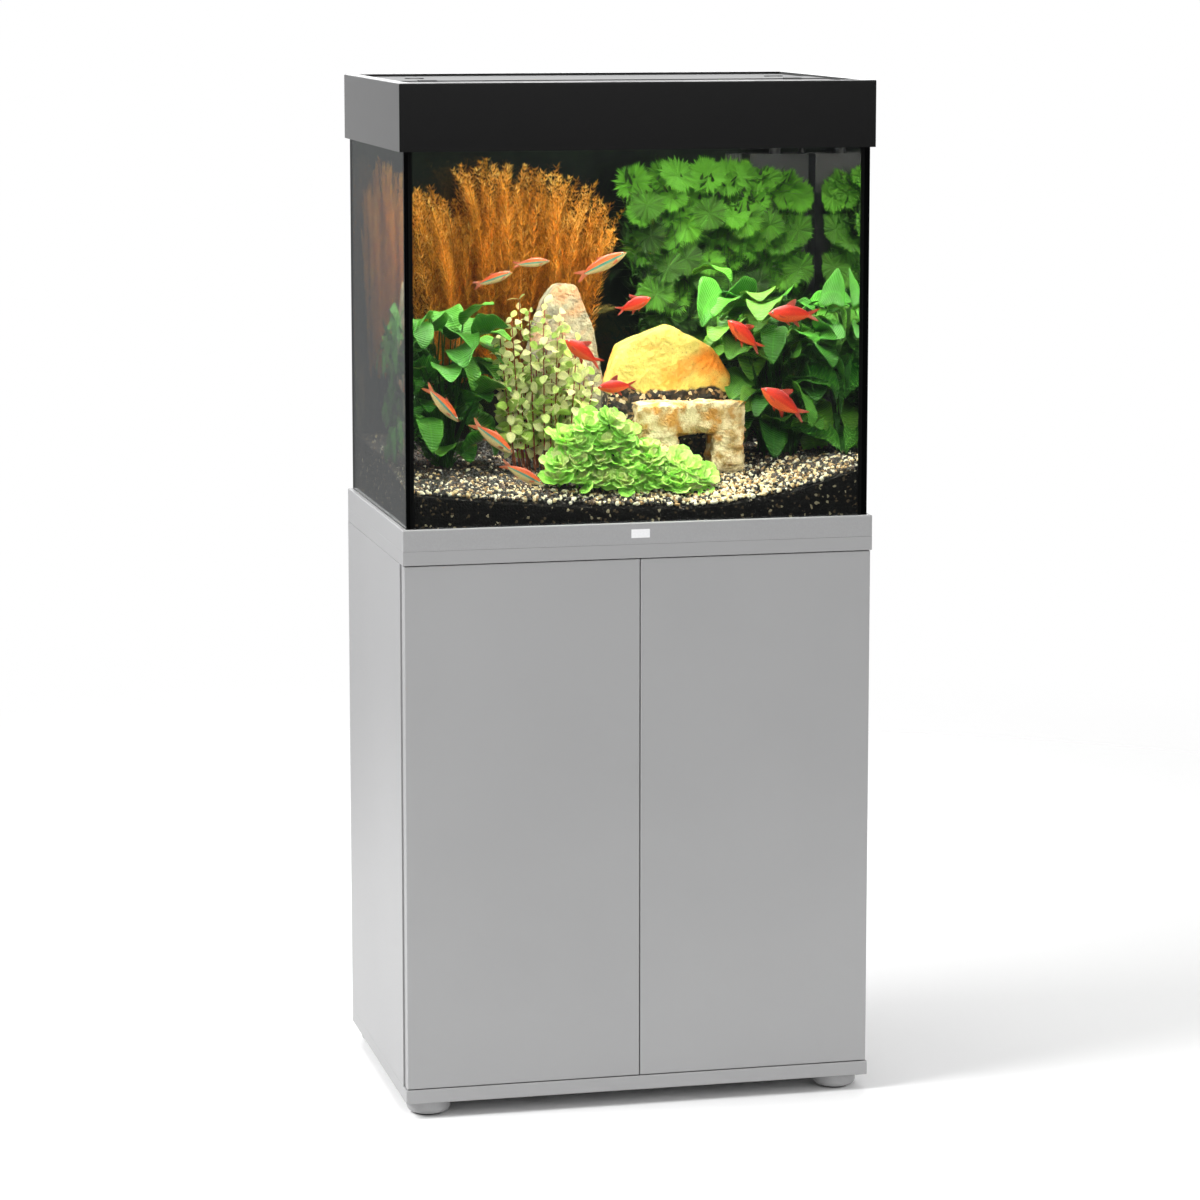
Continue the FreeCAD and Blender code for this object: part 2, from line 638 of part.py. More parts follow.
# each stone: its outline in X and Z, and where it starts and ends from front to back
STONES = {
    "tall_stone": ([(-108, 790), (-4, 790), (-6, 905), (-22, 985), (-46, 1046), (-80, 1048), (-104, 960)],
                   (15, 70)),
    "golden_stone": ([(-14, 790), (150, 790), (150, 930), (128, 962), (70, 994), (2, 968), (-14, 915)],
                     (-40, 12)),
    "slab_stone": ([(14, 780), (60, 780), (62, 838), (80, 866), (106, 866), (122, 838), (124, 780),
                    (160, 780), (158, 880), (136, 898), (40, 902), (14, 880)], (-108, -42)),
}

# plants as plain bodies: a tapered one has its base point, two radii and height; a block its corner and size
TAPERED_PLANTS = {
    "amber_feather_plant": [((-211, 128, 800), 34, 58, 396), ((-120, 128, 800), 34, 58, 406),
                            ((-37, 128, 800), 34, 58, 392)],
    "left_broadleaf_plant": [((-228, -38, 780), 26, 56, 266)],
}
BLOCK_PLANTS = {
    "round_leaf_plant": [((24, 78, 800), (250, 44, 406))],
    "small_leaf_stem_plant": [((-168, -98, 780), (136, 78, 262))],
    "lettuce_plant": [((-100, -170, 760), (190, 50, 140))],
    "right_broadleaf_plant": [((163, -72, 780), (124, 116, 276)), ((104, -40, 998), (60, 70, 60))],
}


def plants(bed):
    """Plain solids of the six plants' outer shapes."""
    for label, cones in TAPERED_PLANTS.items():
        on_gravel(label, [tapered(label + "_bush", *cone) for cone in cones], bed)
    for label, blocks in BLOCK_PLANTS.items():
        on_gravel(label, [block(label + "_bush", *corner_and_size) for corner_and_size in blocks], bed)


# each fish: its middle, its length and how far it is turned about Y
STRIPED_FISH = [
    ((-178, -128, 1063), 55, -18), ((-127, -118, 1082), 50, -5), ((-36, -112, 1077), 76, -25),
    ((-247, -150, 911), 66, 48), ((-186, -166, 868), 70, 38), ((-150, -182, 822), 64, 28),
]
RED_FISH = [
    ((7, -109, 1026), 50, -20), ((-60, -129, 968), 60, -145), ((-20, -150, 926), 52, 178),
    ((150, -135, 985), 62, -139), ((214, -140, 1012), 70, -177), ((196, -165, 900), 74, -147),
]


FISH_WIDTH = 0.16


def shoal(label, school, depth_share):
    """Fish as plain ellipsoids, each turned about Y as it swims; depth and width are shares of the length."""
    fish = []
    for (x, y, z), length, turn in school:
        trunk = doc.addObject("Part::Ellipsoid", "fish_body")
        trunk.Radius1 = length * depth_share / 2
        trunk.Radius2 = length / 2
        trunk.Radius3 = length * FISH_WIDTH / 2
        trunk.Placement = Placement(Vector(x, y, z), Rotation(Vector(0, 1, 0), turn))
        fish.append(trunk)
    node(group(label + "_group", fish), label)


# ---- filter, pump and heater ----

INLET_SLOTS = 6


def filter_box():
    """An open-topped box in the back corner, with the foam that fills its lower part."""
    shell = new_body("filter_housing")
    outer = sketch_on(shell, "XY_Plane", "filter_bottom")
    rectangle(outer, "filter_x", "filter_y", "filter_width", "filter_depth")
    pad(shell, outer, "filter_height")
    hollow = sketch_on(shell, "XY_Plane", "filter_bottom + filter_height")
    rectangle(hollow, "filter_x + filter_wall", "filter_y + filter_wall",
              "filter_width - 2 * filter_wall", "filter_depth - 2 * filter_wall")
    pocket(shell, hollow, "filter_height - filter_wall")
    slots = sketch_on(shell, "XZ_Plane", "-filter_y")
    for step in range(INLET_SLOTS):
        rectangle(slots, "filter_x + inlet_inset", f"filter_bottom + inlet_rise + {step} * inlet_pitch",
                  "inlet_width", "inlet_height")
    pocket(shell, slots, "filter_wall")
    node(shell, "filter_housing")
    start = "filter_bottom + filter_wall"
    sponges = []
    for name, height in (("fine_sponge", "sponge_height"), ("coarse_sponge", "sponge_height"),
                         ("carbon_sponge", "carbon_height")):
        corner = ("filter_x + filter_wall + sponge_inset", "filter_y + filter_wall + sponge_inset", start)
        size = ("filter_width - 2 * (filter_wall + sponge_inset)",
                "filter_depth - 2 * (filter_wall + sponge_inset)", height)
        sponges.append(block(name, corner, size))
        start = f"{start} + {height} + sponge_gap"
    node(group("sponge_group", sponges), "filter_sponges")


PUMP_X = "filter_x + filter_width / 2"
PUMP_Y = "filter_y + filter_depth / 2"


BLADES = 6
KNOB_GROOVES = 12


def pump():
    """The pump inside the box, its rotor, and the outlet nozzle that turns on the pump's spigot."""
    case = block("pump_case", (f"({PUMP_X}) - pump_width / 2", f"({PUMP_Y}) - pump_depth / 2",
                               "pump_level - pump_height"),
                 ("pump_width", "pump_depth", "pump_height"))
    spigot = rod("pump_spigot", (PUMP_X, PUMP_Y, "pump_level"), "nozzle_bore", "nozzle_level - pump_level")
    chamber = rod("rotor_chamber", (PUMP_X, PUMP_Y, "pump_level - rotor_drop"), "rotor_radius + rotor_slack",
                  "rotor_height + 2 * rotor_slack")
    node(cut("pump_body_cut", joined("pump_blank", [case, spigot]), [chamber]), "pump_body")

    rotor = new_body("pump_impeller")
    hub = sketch_on(rotor, "XY_Plane")
    circle(hub, "0", "0", "rotor_radius / 2")
    pad(rotor, hub, "rotor_height")
    blade = sketch_on(rotor, "XY_Plane", "rotor_height / 2")
    rectangle(blade, "0", "-blade_thickness / 2", "rotor_radius - 2 * rotor_slack", "blade_thickness")
    around(rotor, "impeller_blades", pad(rotor, blade, "rotor_height / 2"), BLADES)
    place(rotor, PUMP_X, PUMP_Y, "pump_level - rotor_drop + rotor_slack")
    node(rotor, "pump_impeller")

    pipe_start = f"({PUMP_X}) - nozzle_length"
    pipe_level = "nozzle_level + pipe_rise"
    collar_level = "nozzle_level - collar_drop"
    collar = rod("nozzle_collar", (PUMP_X, PUMP_Y, collar_level), "nozzle_radius", "collar_height")
    pipe = rod("nozzle_pipe", (pipe_start, PUMP_Y, pipe_level), "pipe_radius", "nozzle_length", "x")
    socket = rod("nozzle_socket", (PUMP_X, PUMP_Y, collar_level), "nozzle_bore + running_slack",
                 "collar_drop + 0.5")
    mouth = rod("nozzle_mouth", (pipe_start, PUMP_Y, pipe_level), "pipe_bore", "nozzle_length - 2", "x")
    node(cut("nozzle_cut", joined("nozzle_blank", [collar, pipe]), [socket, mouth]), "outlet_nozzle")


def around(body, name, feature, count):
    """Repeats a feature evenly about the body's Z axis."""
    pattern = body.newObject("PartDesign::PolarPattern", name)
    pattern.Originals = [feature]
    axis = next(item for item in body.Origin.OriginFeatures if item.Role == "Z_Axis")
    pattern.Axis = (axis, [""])
    pattern.Angle = 360
    pattern.Occurrences = count
    body.Tip = pattern


def heater():
    """A glass heater hung beside the filter on its clips, with a thermostat knob on top."""
    x = "filter_x - heater_radius - heater_gap"
    y = "filter_y + heater_radius + heater_setback"
    tube = rod("heater_rod", (x, y, "heater_level"), "heater_radius", "heater_length")
    node(tube, "heater_tube")
    clips = []
    for level in ("heater_level + low_clip", "heater_level + high_clip"):
        band = rod("clip_band", (x, y, level), "heater_radius + clip_wall", "clip_height")
        tab = block("clip_tab", (f"{x} - clip_tab_width / 2", f"{y} + heater_radius", level),
                    ("clip_tab_width", f"({IN_Y}) - ({y}) - heater_radius", "clip_height"))
        passage = rod("clip_passage", (x, y, level), "heater_radius", "clip_height")
        clips.append(cut("heater_clip", joined("clip_blank", [band, tab]), [passage]))
    node(group("heater_clip_group", clips), "heater_clips")
    knob = new_body("heater_knob")
    outer = sketch_on(knob, "XY_Plane")
    circle(outer, "0", "0", "knob_radius")
    pad(knob, outer, "knob_height")
    notch = sketch_on(knob, "XY_Plane", "knob_height")
    circle(notch, "knob_radius + groove_reach", "0", "groove_radius")
    around(knob, "knob_grooves", pocket(knob, notch, "knob_height - knob_base"), KNOB_GROOVES)
    place(knob, x, y, "heater_level + heater_length + knob_gap")
    node(knob, "heater_knob")


# ---- hood ----

PLATE_TOP = "overall_height - flap_drop"
HINGE_LEVEL = "overall_height - hinge_drop"
AXIS_Y = "bar_width / 2 + hinge_reach"
BAR_LEVEL = "glass_top + ledge_thickness"


def hood_frame():
    """Walls, a top rim with three finger recesses in front, and the ledge that rests on the glass."""
    hood = new_body("hood_frame")
    outer = sketch_on(hood, "XY_Plane", "hood_bottom")
    rectangle(outer, "-overall_width / 2", "-overall_depth / 2", "overall_width", "overall_depth")
    pad(hood, outer, "overall_height - hood_bottom")
    skirt = sketch_on(hood, "XY_Plane", "hood_bottom")
    rectangle(skirt, "-overall_width / 2 + hood_wall", "-overall_depth / 2 + hood_wall",
              "overall_width - 2 * hood_wall", "overall_depth - 2 * hood_wall")
    pocket(hood, skirt, "glass_top - hood_bottom", forward=True)
    middle = sketch_on(hood, "XY_Plane", "overall_height")
    inside_ledge = "2 * (hood_wall + ledge_width)"
    rectangle(middle, f"(-overall_width + {inside_ledge}) / 2", f"(-overall_depth + {inside_ledge}) / 2",
              f"overall_width - {inside_ledge}", f"overall_depth - {inside_ledge}")
    pocket(hood, middle, "overall_height - glass_top")
    well = sketch_on(hood, "XY_Plane", "overall_height")
    rectangle(well, "-overall_width / 2 + hood_rim", "-overall_depth / 2 + hood_rim",
              "overall_width - 2 * hood_rim", "overall_depth - 2 * hood_rim")
    pocket(hood, well, f"overall_height - ({BAR_LEVEL})")
    recesses = sketch_on(hood, "XY_Plane", "overall_height")
    for step in (-1, 0, 1):
        rectangle(recesses, f"{step} * recess_pitch - recess_width / 2",
                  "-overall_depth / 2 + hood_rim - recess_depth", "recess_width", "recess_depth")
    pocket(hood, recesses, "recess_drop")
    rounded(hood, "moulded_round", outer_edge_at("overall_height"))
    node(hood, "hood_frame")


def lug_places():
    """The two lugs beside each knuckle, for both flaps: their X and the side of the bar."""
    for way in (-1, 1):
        for side in (-1, 1):
            for edge in (-1, 1):
                yield way, f"{side} * hinge_x + {edge} * ((knuckle_width + lug_width) / 2 + lug_gap)"


def light_bar():
    """The bar across the hood: hinge lugs along both sides, and sockets for the light tubes below."""
    bar = [block("bar_block", ("-(overall_width - 2 * hood_rim) / 2 + flap_gap", "-bar_width / 2", BAR_LEVEL),
                 ("overall_width - 2 * hood_rim - 2 * flap_gap", "bar_width", "bar_height"))]
    holes = []
    for way, x in lug_places():
        low_x = f"{x} - lug_width / 2"
        eye = (low_x, f"{way} * ({AXIS_Y})", HINGE_LEVEL)
        bar.append(rod("lug_eye", eye, "knuckle_radius", "lug_width", "x"))
        near = "bar_width / 2" if way > 0 else f"-({AXIS_Y})"
        bar.append(block("lug_web", (low_x, near, f"({HINGE_LEVEL}) - knuckle_radius"),
                         ("lug_width", "hinge_reach", "2 * knuckle_radius")))
        holes.append(rod("lug_hole", eye, "flap_pin_radius", "lug_width", "x"))
    for way in (-1, 1):
        for side in (-1, 1):
            x = f"{side} * (tube_length / 2 + tube_cap - hanger_setback) - hanger_width / 2"
            y = f"{way} * tube_y - hanger_depth / 2"
            bar.append(block("tube_hanger", (x, y, f"({BAR_LEVEL}) - tube_drop"),
                             ("hanger_width", "hanger_depth", "tube_drop + 2")))
    node(cut("light_bar_cut", joined("light_bar_blank", bar), holes), "light_bar")


def light_tubes():
    """Two tubes under the bar, with a cap on each end that hangs from the bar."""
    tubes, caps = [], []
    level = f"({BAR_LEVEL}) - tube_drop - tube_radius"
    for way in (-1, 1):
        tubes.append(rod("light_tube", ("-tube_length / 2", f"{way} * tube_y", level), "tube_radius - 1",
                         "tube_length", "x"))
        for start in ("tube_length / 2", "-tube_length / 2 - tube_cap"):
            end = (start, f"{way} * tube_y", level)
            caps.append(rod("tube_cap_rod", end, "tube_radius", "tube_cap", "x"))
    node(group("light_tube_group", tubes), "light_tubes")
    node(group("tube_cap_group", caps), "tube_end_caps")


def flap(label, way):
    """A lid flap: plate, skirt along its outer edge, and two knuckles on tongues at its hinge edge."""
    half = "overall_width / 2 - hood_rim - flap_gap"
    near = "bar_width / 2 + hinge_reach / 2"
    far = "overall_depth / 2 - hood_rim - flap_gap"
    low = f"({PLATE_TOP}) - flap_thickness"

    def strip(name, x, start, end, z, width, height):
        """A block between two distances from the middle, on the flap's own side."""
        y = start if way > 0 else f"-({end})"
        return block(name, (x, y, z), (width, f"({end}) - ({start})", height))

    plate = strip("flap_plate", f"-({half})", near, far, low, f"2 * ({half})", "flap_thickness")
    notches = [strip("flap_notch", f"{side} * hinge_x - notch_width / 2", near, f"({AXIS_Y}) + notch_reach",
                     f"{low} - 1", "notch_width", "flap_thickness + 2") for side in (-1, 1)]
    shapes = [cut("flap_notched", plate, notches)]
    shapes.append(strip("flap_skirt", f"-({half})", f"{far} - skirt_thickness", far,
                        f"{low} - flap_skirt + flap_thickness", f"2 * ({half})", "flap_skirt"))
    holes = []
    for side in (-1, 1):
        x = f"{side} * hinge_x - knuckle_width / 2"
        eye = (x, f"{way} * ({AXIS_Y})", HINGE_LEVEL)
        shapes.append(rod("knuckle", eye, "knuckle_radius", "knuckle_width", "x"))
        shapes.append(strip("tongue", x, AXIS_Y, f"({AXIS_Y}) + tongue_length", low, "knuckle_width",
                            "flap_thickness"))
        holes.append(rod("knuckle_hole", eye, "flap_pin_radius + running_slack", "knuckle_width", "x"))
    node(cut(label + "_cut", joined(label + "_blank", shapes), holes), label)


def flap_pins():
    pins = []
    length = "knuckle_width + 2 * (lug_width + lug_gap)"
    for way in (-1, 1):
        for side in (-1, 1):
            start = (f"{side} * hinge_x - ({length}) / 2", f"{way} * ({AXIS_Y})", HINGE_LEVEL)
            pins.append(rod("flap_pin", start, "flap_pin_radius", length, "x"))
    node(group("flap_pin_group", pins), "flap_hinge_pins")


def build():
    base_plate()
    top_board()
    side_panel("left")
    side_panel("right")
    panel_fixings()
    back_panel()
    shelf()
    feet()
    hinge_plates_and_arms()
    door("left")
    door("right")
    push_latches()
    base_frame()
    tank_glass()
    background_film()
    bed = gravel_bed(silicone_seams())
    for label, (outline_points, depth_range) in STONES.items():
        stone(label, outline_points, depth_range, bed)
    plants(bed)
    shoal("striped_fish", STRIPED_FISH, 0.26)
    shoal("red_fish", RED_FISH, 0.34)
    filter_box()
    pump()
    heater()
    hood_frame()
    light_bar()
    light_tubes()
    flap("front_flap", -1)
    flap("rear_flap", 1)
    flap_pins()
    doc.recompute()


def check():
    """Stops on a failed feature, an empty shape, or a cut that took nothing away."""
    for thing in doc.Objects:
        if "Invalid" in thing.State or "Error" in thing.State:
            raise RuntimeError(f"{thing.Name} failed: {thing.State}")
    for feature, base in CUTS:
        before = (base or feature.BaseFeature).Shape.Volume
        if feature.Shape.Volume > before - 0.01:
            raise RuntimeError(f"{feature.Name} of {before:.1f} cubic mm took nothing away")
    for thing in NODES:
        if thing.Shape.isNull() or not thing.Shape.isValid():
            raise RuntimeError(f"{thing.Label} has no valid shape")


def export():
    os.makedirs("parts", exist_ok=True)
    for thing in NODES:
        thing.Shape.exportStep(f"parts/{thing.Label}.step")
        print(f"{thing.Label}: {len(thing.Shape.Solids)} solid(s), {thing.Shape.Volume / 1000:.1f} cm3")


build()
check()
export()
print(len(NODES), "nodes")
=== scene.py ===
"""Aquarium on its cabinet: planted water, rocks, gravel, fish and finishes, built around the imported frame.

Lengths are metres. X runs to the right, Y to the back and Z up, with the origin on the floor.
"""
import math

import bmesh
import bpy
import numpy as np
from bpy.props import FloatProperty, FloatVectorProperty, IntProperty, PointerProperty
from bpy.types import Operator, Panel, PropertyGroup
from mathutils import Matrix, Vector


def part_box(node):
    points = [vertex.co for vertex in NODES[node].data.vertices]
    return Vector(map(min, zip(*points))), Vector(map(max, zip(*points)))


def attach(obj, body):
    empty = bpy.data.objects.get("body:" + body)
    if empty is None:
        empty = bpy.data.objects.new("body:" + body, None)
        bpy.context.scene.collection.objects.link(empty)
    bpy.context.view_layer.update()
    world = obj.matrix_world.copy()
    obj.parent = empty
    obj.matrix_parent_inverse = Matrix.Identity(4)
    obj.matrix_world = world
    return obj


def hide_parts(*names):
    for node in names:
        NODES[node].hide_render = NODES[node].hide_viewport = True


bl_info = {
    "name": "Planted Aquarium",
    "version": (1, 0, 0),
    "blender": (4, 5, 0),
    "location": "3D View > Sidebar > Aquarium",
    "description": "Builds the planting, rocks, fish and finishes of an aquarium on its cabinet",
    "category": "Object",
}

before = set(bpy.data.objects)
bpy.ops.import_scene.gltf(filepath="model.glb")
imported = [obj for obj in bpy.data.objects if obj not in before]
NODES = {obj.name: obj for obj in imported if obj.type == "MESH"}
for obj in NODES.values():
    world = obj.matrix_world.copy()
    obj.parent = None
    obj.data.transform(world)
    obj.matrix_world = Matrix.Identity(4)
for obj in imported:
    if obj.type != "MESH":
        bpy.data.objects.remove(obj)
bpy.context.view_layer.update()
ROOT = "cabinet_and_tank"
TAU = 2 * math.pi
UP = np.array([0.0, 0.0, 1.0])
WHITE = (1.0, 1.0, 1.0)
FINE_GRAIN = 900.0


# ---------------------------------------------------------------- settings

def colour_setting(name, description, default):
    """A colour that a user may change."""
    return FloatVectorProperty(name=name, description=description, default=default,
                               subtype="COLOR", size=3, min=0, max=1)


def count_setting(name, description, default):
    """A number of like things that a user may change."""
    return IntProperty(name=name, description=description, default=default, min=1)


def measure_setting(name, description, default, unit="LENGTH"):
    """A measure that a user may change."""
    return FloatProperty(name=name, description=description, default=default, unit=unit)


class AquariumColours(PropertyGroup):
    cabinet: colour_setting("Cabinet", "Grey of the laminated boards and doors", (0.335, 0.335, 0.338))
    hood: colour_setting("Hood", "Black of the hood and its lids", (0.005, 0.005, 0.005))
    amber: colour_setting("Feather plant", "Amber of the feathery plant", (0.50, 0.215, 0.022))
    leaf: colour_setting("Broad leaf", "Green of the broad leaves", (0.050, 0.215, 0.020))
    rosette: colour_setting("Rosettes", "Green of the round rosettes", (0.11, 0.37, 0.018))
    lettuce: colour_setting("Lettuce", "Green of the low rosettes in front", (0.28, 0.68, 0.09))
    sprig: colour_setting("Stem plant", "Pale green of the small leaves", (0.60, 0.90, 0.16))
    pale_rock: colour_setting("Pale rock", "Cream of the tall rock", (0.60, 0.53, 0.34))
    golden_rock: colour_setting("Golden rock", "Yellow of the middle rock", (0.86, 0.68, 0.15))
    gravel: colour_setting("Gravel", "Dark ground of the gravel", (0.008, 0.007, 0.006))


class AquariumSizes(PropertyGroup):
    feather_stems: count_setting("Feather stems", "Stems of the amber plant", 150)
    rosettes: count_setting("Rosettes", "Round rosettes of the tall plant", 72)
    sprigs: count_setting("Sprigs", "Stems of the small-leaved plant", 32)
    pebbles: count_setting("Pebbles", "Loose grains on the gravel", 9000)
    water_line: measure_setting("Water line", "Height of the water's surface", 1.262)
    glass_gap: measure_setting("Glass gap", "Gap between the water and the panes", 0.0003)
    light_power: measure_setting("Light power", "Power of the light under the hood", 6.0, "POWER")


def chosen(name):
    """A colour from the settings."""
    return tuple(getattr(bpy.context.scene.aquarium_colours, name))


def sizes():
    return bpy.context.scene.aquarium_sizes


# ---------------------------------------------------------------- shader nodes

def add(tree, kind, inputs=None, **settings):
    """One shader node; an input is given as a value or as the socket that feeds it."""
    node = tree.nodes.new("ShaderNode" + kind)
    for name, value in settings.items():
        setattr(node, name, value)
    for socket, value in (inputs or {}).items():
        if isinstance(value, bpy.types.NodeSocket):
            tree.links.new(value, node.inputs[socket])
        else:
            node.inputs[socket].default_value = value
    return node


def shade(colour, factor):
    """The colour made darker or lighter."""
    return tuple(min(1.0, channel * factor) for channel in colour)


class Finish:
    """A new material: its Principled shader, and the patterns that feed it."""

    def __init__(self, name, roughness=0.5, **values):
        """Constant values are set on the shader itself."""
        self.material = bpy.data.materials.new(name)
        self.material.use_nodes = True
        self.tree = self.material.node_tree
        self.shader = self.tree.nodes["Principled BSDF"]
        for socket, value in {"Roughness": roughness, **values}.items():
            self.shader.inputs[socket.replace("_", " ")].default_value = value

    def add(self, kind, inputs=None, **settings):
        return add(self.tree, kind, inputs, **settings)

    def place(self, **stretch):
        """The piece's own coordinates, moved or stretched if asked."""
        spot = self.add("TexCoord").outputs["Object"]
        return self.add("Mapping", {"Vector": spot, **stretch}).outputs["Vector"] if stretch else spot

    def noise(self, scale, detail=3.0, coordinates=None):
        inputs = {"Scale": scale, "Detail": detail, "Vector": coordinates or self.place()}
        return self.add("TexNoise", inputs).outputs["Fac"]

    def cells(self, scale):
        """A pattern of cells, with the distance from each one's middle and a random colour for each."""
        return self.add("TexVoronoi", {"Scale": scale, "Vector": self.place()}).outputs

    def pick(self, cells):
        """A random number for each cell."""
        return self.add("SeparateColor", {"Color": cells["Color"]}).outputs["Red"]

    def tone(self):
        """The tone that each leaf or grain carries."""
        return self.add("Attribute", attribute_name="tone").outputs["Fac"]

    def mapped(self, layer):
        """The piece's own map."""
        return self.add("UVMap", uv_map=layer).outputs["UV"]

    def part(self, vector, way):
        return self.add("SeparateXYZ", {"Vector": vector}).outputs[way]

    def waves(self, layer, way, scale, distortion):
        """Bands that follow one another along one way of the piece's map."""
        inputs = {"Scale": scale, "Distortion": distortion, "Vector": self.mapped(layer)}
        return self.add("TexWave", inputs, bands_direction=way).outputs["Fac"]

    def ramp(self, factor, stops, interpolation="LINEAR"):
        """A colour ramp; each stop is a position and a colour, or a level of grey."""
        node = self.add("ValToRGB", {"Fac": factor})
        node.color_ramp.interpolation = interpolation
        elements = node.color_ramp.elements
        while len(elements) < len(stops):
            elements.new(0.5)
        for element, (position, colour) in zip(elements, stops):
            element.position = position
            element.color = (*np.broadcast_to(colour, 3), 1)
        return node.outputs["Color"]

    def mix(self, share, first, second, blend_type="MIX"):
        inputs = {0: share, 6: first, 7: second}
        return self.add("Mix", inputs, data_type="RGBA", blend_type=blend_type).outputs[2]

    def tinted(self, share, ground, pattern, stops):
        """A ground colour multiplied by the colours that a pattern picks from a ramp."""
        return self.mix(share, ground, self.ramp(pattern, stops), "MULTIPLY")

    def feed(self, socket, value):
        self.tree.links.new(value, self.shader.inputs[socket])

    def two_tone(self, pattern, dark, light):
        self.feed("Base Color", self.ramp(pattern, [(0.3, dark), (0.7, light)]))

    def uneven_gloss(self, pattern, low, high):
        """Roughness between two values."""
        spread = self.add("MapRange", {"Value": pattern, "To Min": low, "To Max": high})
        self.feed("Roughness", spread.outputs["Result"])

    def emboss(self, height, distance, strength=1.0):
        """Bump from a height, with its depth in metres."""
        bump = self.add("Bump", {"Height": height, "Distance": distance, "Strength": strength})
        self.feed("Normal", bump.outputs["Normal"])


# ---------------------------------------------------------------- finishes

def laminate(name, colour):
    """Satin melamine board: faint cloudiness, a fine even grain and uneven gloss."""
    board = Finish(name, 0.42)
    board.two_tone(board.noise(3.0), shade(colour, 0.97), shade(colour, 1.03))
    grain = board.noise(FINE_GRAIN, 2.0)
    board.uneven_gloss(grain, 0.36, 0.50)
    board.emboss(grain, 0.00004, 0.5)
    return board.material


def moulded(name, colour, roughness=0.45, grain_size=700.0, haze=0.0):
    """Moulded plastic with a fine sparked grain, and a pale haze when seen edge on."""
    plastic = Finish(name, roughness, Sheen_Weight=haze, Sheen_Roughness=0.35,
                     Specular_IOR_Level=0.25 if haze else 0.5)
    grain = plastic.noise(grain_size, 2.0)
    plastic.two_tone(grain, shade(colour, 0.96), shade(colour, 1.04))
    plastic.uneven_gloss(grain, roughness - 0.05, roughness + 0.07)
    plastic.emboss(grain, 0.00006, 0.25)
    return plastic.material


def metal(name, colour, roughness):
    """Brushed or plated metal with fine streaks."""
    plate = Finish(name, roughness, Metallic=1.0)
    streaks = plate.noise(1.0, 3.0, plate.place(Scale=(40.0, 40.0, 900.0)))
    plate.two_tone(streaks, shade(colour, 0.9), colour)
    plate.uneven_gloss(streaks, roughness - 0.08, roughness + 0.12)
    plate.emboss(streaks, 0.00002, 0.5)
    return plate.material


def clear(name, colour, refraction, passing=0.98):
    """Clear glass or water: it lets a share of the light pass straight through to what stands in it."""
    pane = Finish(name, 0.0, Base_Color=(*colour, 1), Transmission_Weight=1.0, IOR=refraction)
    shadow = pane.add("LightPath").outputs["Is Shadow Ray"]
    open_way = pane.add("BsdfTransparent", {"Color": (*shade(colour, passing), 1)})
    mixed = pane.add("MixShader", {0: shadow, 1: pane.shader.outputs["BSDF"], 2: open_way.outputs["BSDF"]})
    pane.tree.links.new(mixed.outputs["Shader"], pane.tree.nodes["Material Output"].inputs["Surface"])
    return pane.material


def timber(name, colour):
    """Plain beech with its growth lines along the dowel."""
    wood = Finish(name, 0.6)
    lines = wood.noise(1.0, 4.0, wood.place(Scale=(500.0, 500.0, 20.0)))
    wood.two_tone(lines, shade(colour, 0.7), colour)
    wood.emboss(lines, 0.0001)
    return wood.material


def foam(name, colour):
    """Open filter foam: a cellular surface."""
    sponge = Finish(name, 0.9)
    distance = sponge.cells(450.0)["Distance"]
    sponge.feed("Base Color", sponge.ramp(distance, [(0.1, shade(colour, 0.2)), (0.6, colour)]))
    sponge.emboss(distance, 0.0012)
    return sponge.material


def felt(name, colour):
    """Matted short fibres."""
    pad = Finish(name, 0.95, Sheen_Weight=0.3)
    fibres = pad.noise(1500.0, 4.0)
    pad.two_tone(fibres, shade(colour, 0.6), shade(colour, 1.4))
    pad.emboss(fibres, 0.0002)
    return pad.material


def rubbery(name, colour):
    """Silicone: smooth, slightly wavy and glossy."""
    seam = Finish(name, 0.32)
    waves = seam.noise(60.0, 2.0)
    seam.two_tone(waves, colour, shade(colour, 1.5))
    seam.emboss(waves, 0.0003)
    return seam.material


def murky(name, dark, light):
    """A dark backdrop with cloudy green patches."""
    film = Finish(name, 0.75)
    film.feed("Base Color", film.ramp(film.noise(9.0, 4.0), [(0.35, dark), (0.70, light)]))
    return film.material


def glow(name, colour, strength):
    """A lit tube: bright along its length, a little dimmer where the coating is uneven."""
    tube = Finish(name, 0.3, Emission_Strength=strength, Base_Color=(*colour, 1))
    coating = tube.ramp(tube.noise(30.0, 1.0), [(0.2, shade(colour, 0.92)), (0.8, colour)])
    tube.feed("Emission Color", coating)
    return tube.material


def rock(name, pale, deep, stain, stain_share, scale, soil=0.0):
    """Weathered stone: pale and deep patches, rusty stains, dark pits, a rough face and soil at its foot."""
    stone = Finish(name, 0.85)
    ground = stone.ramp(stone.noise(scale, 5.0), [(0.36, deep), (0.6, pale)])
    patches = stone.noise(scale * 0.6, 3.0, stone.place(Location=(3.1, 1.7, 0.4)))
    stained = stone.ramp(patches, [(stain_share, 0), (stain_share + 0.12, 1)])
    stained = stone.mix(stained, ground, (*stain, 1))
    pits = stone.cells(scale * 9)["Distance"]
    finished = stone.tinted(0.45, stained, pits, [(0.02, shade(deep, 0.25)), (0.3, 1)])
    if soil:
        finished = soiled(stone, finished, soil)
    stone.feed("Base Color", finished)
    stone.emboss(stone.noise(scale * 5, 8.0), 0.004)
    return stone.material


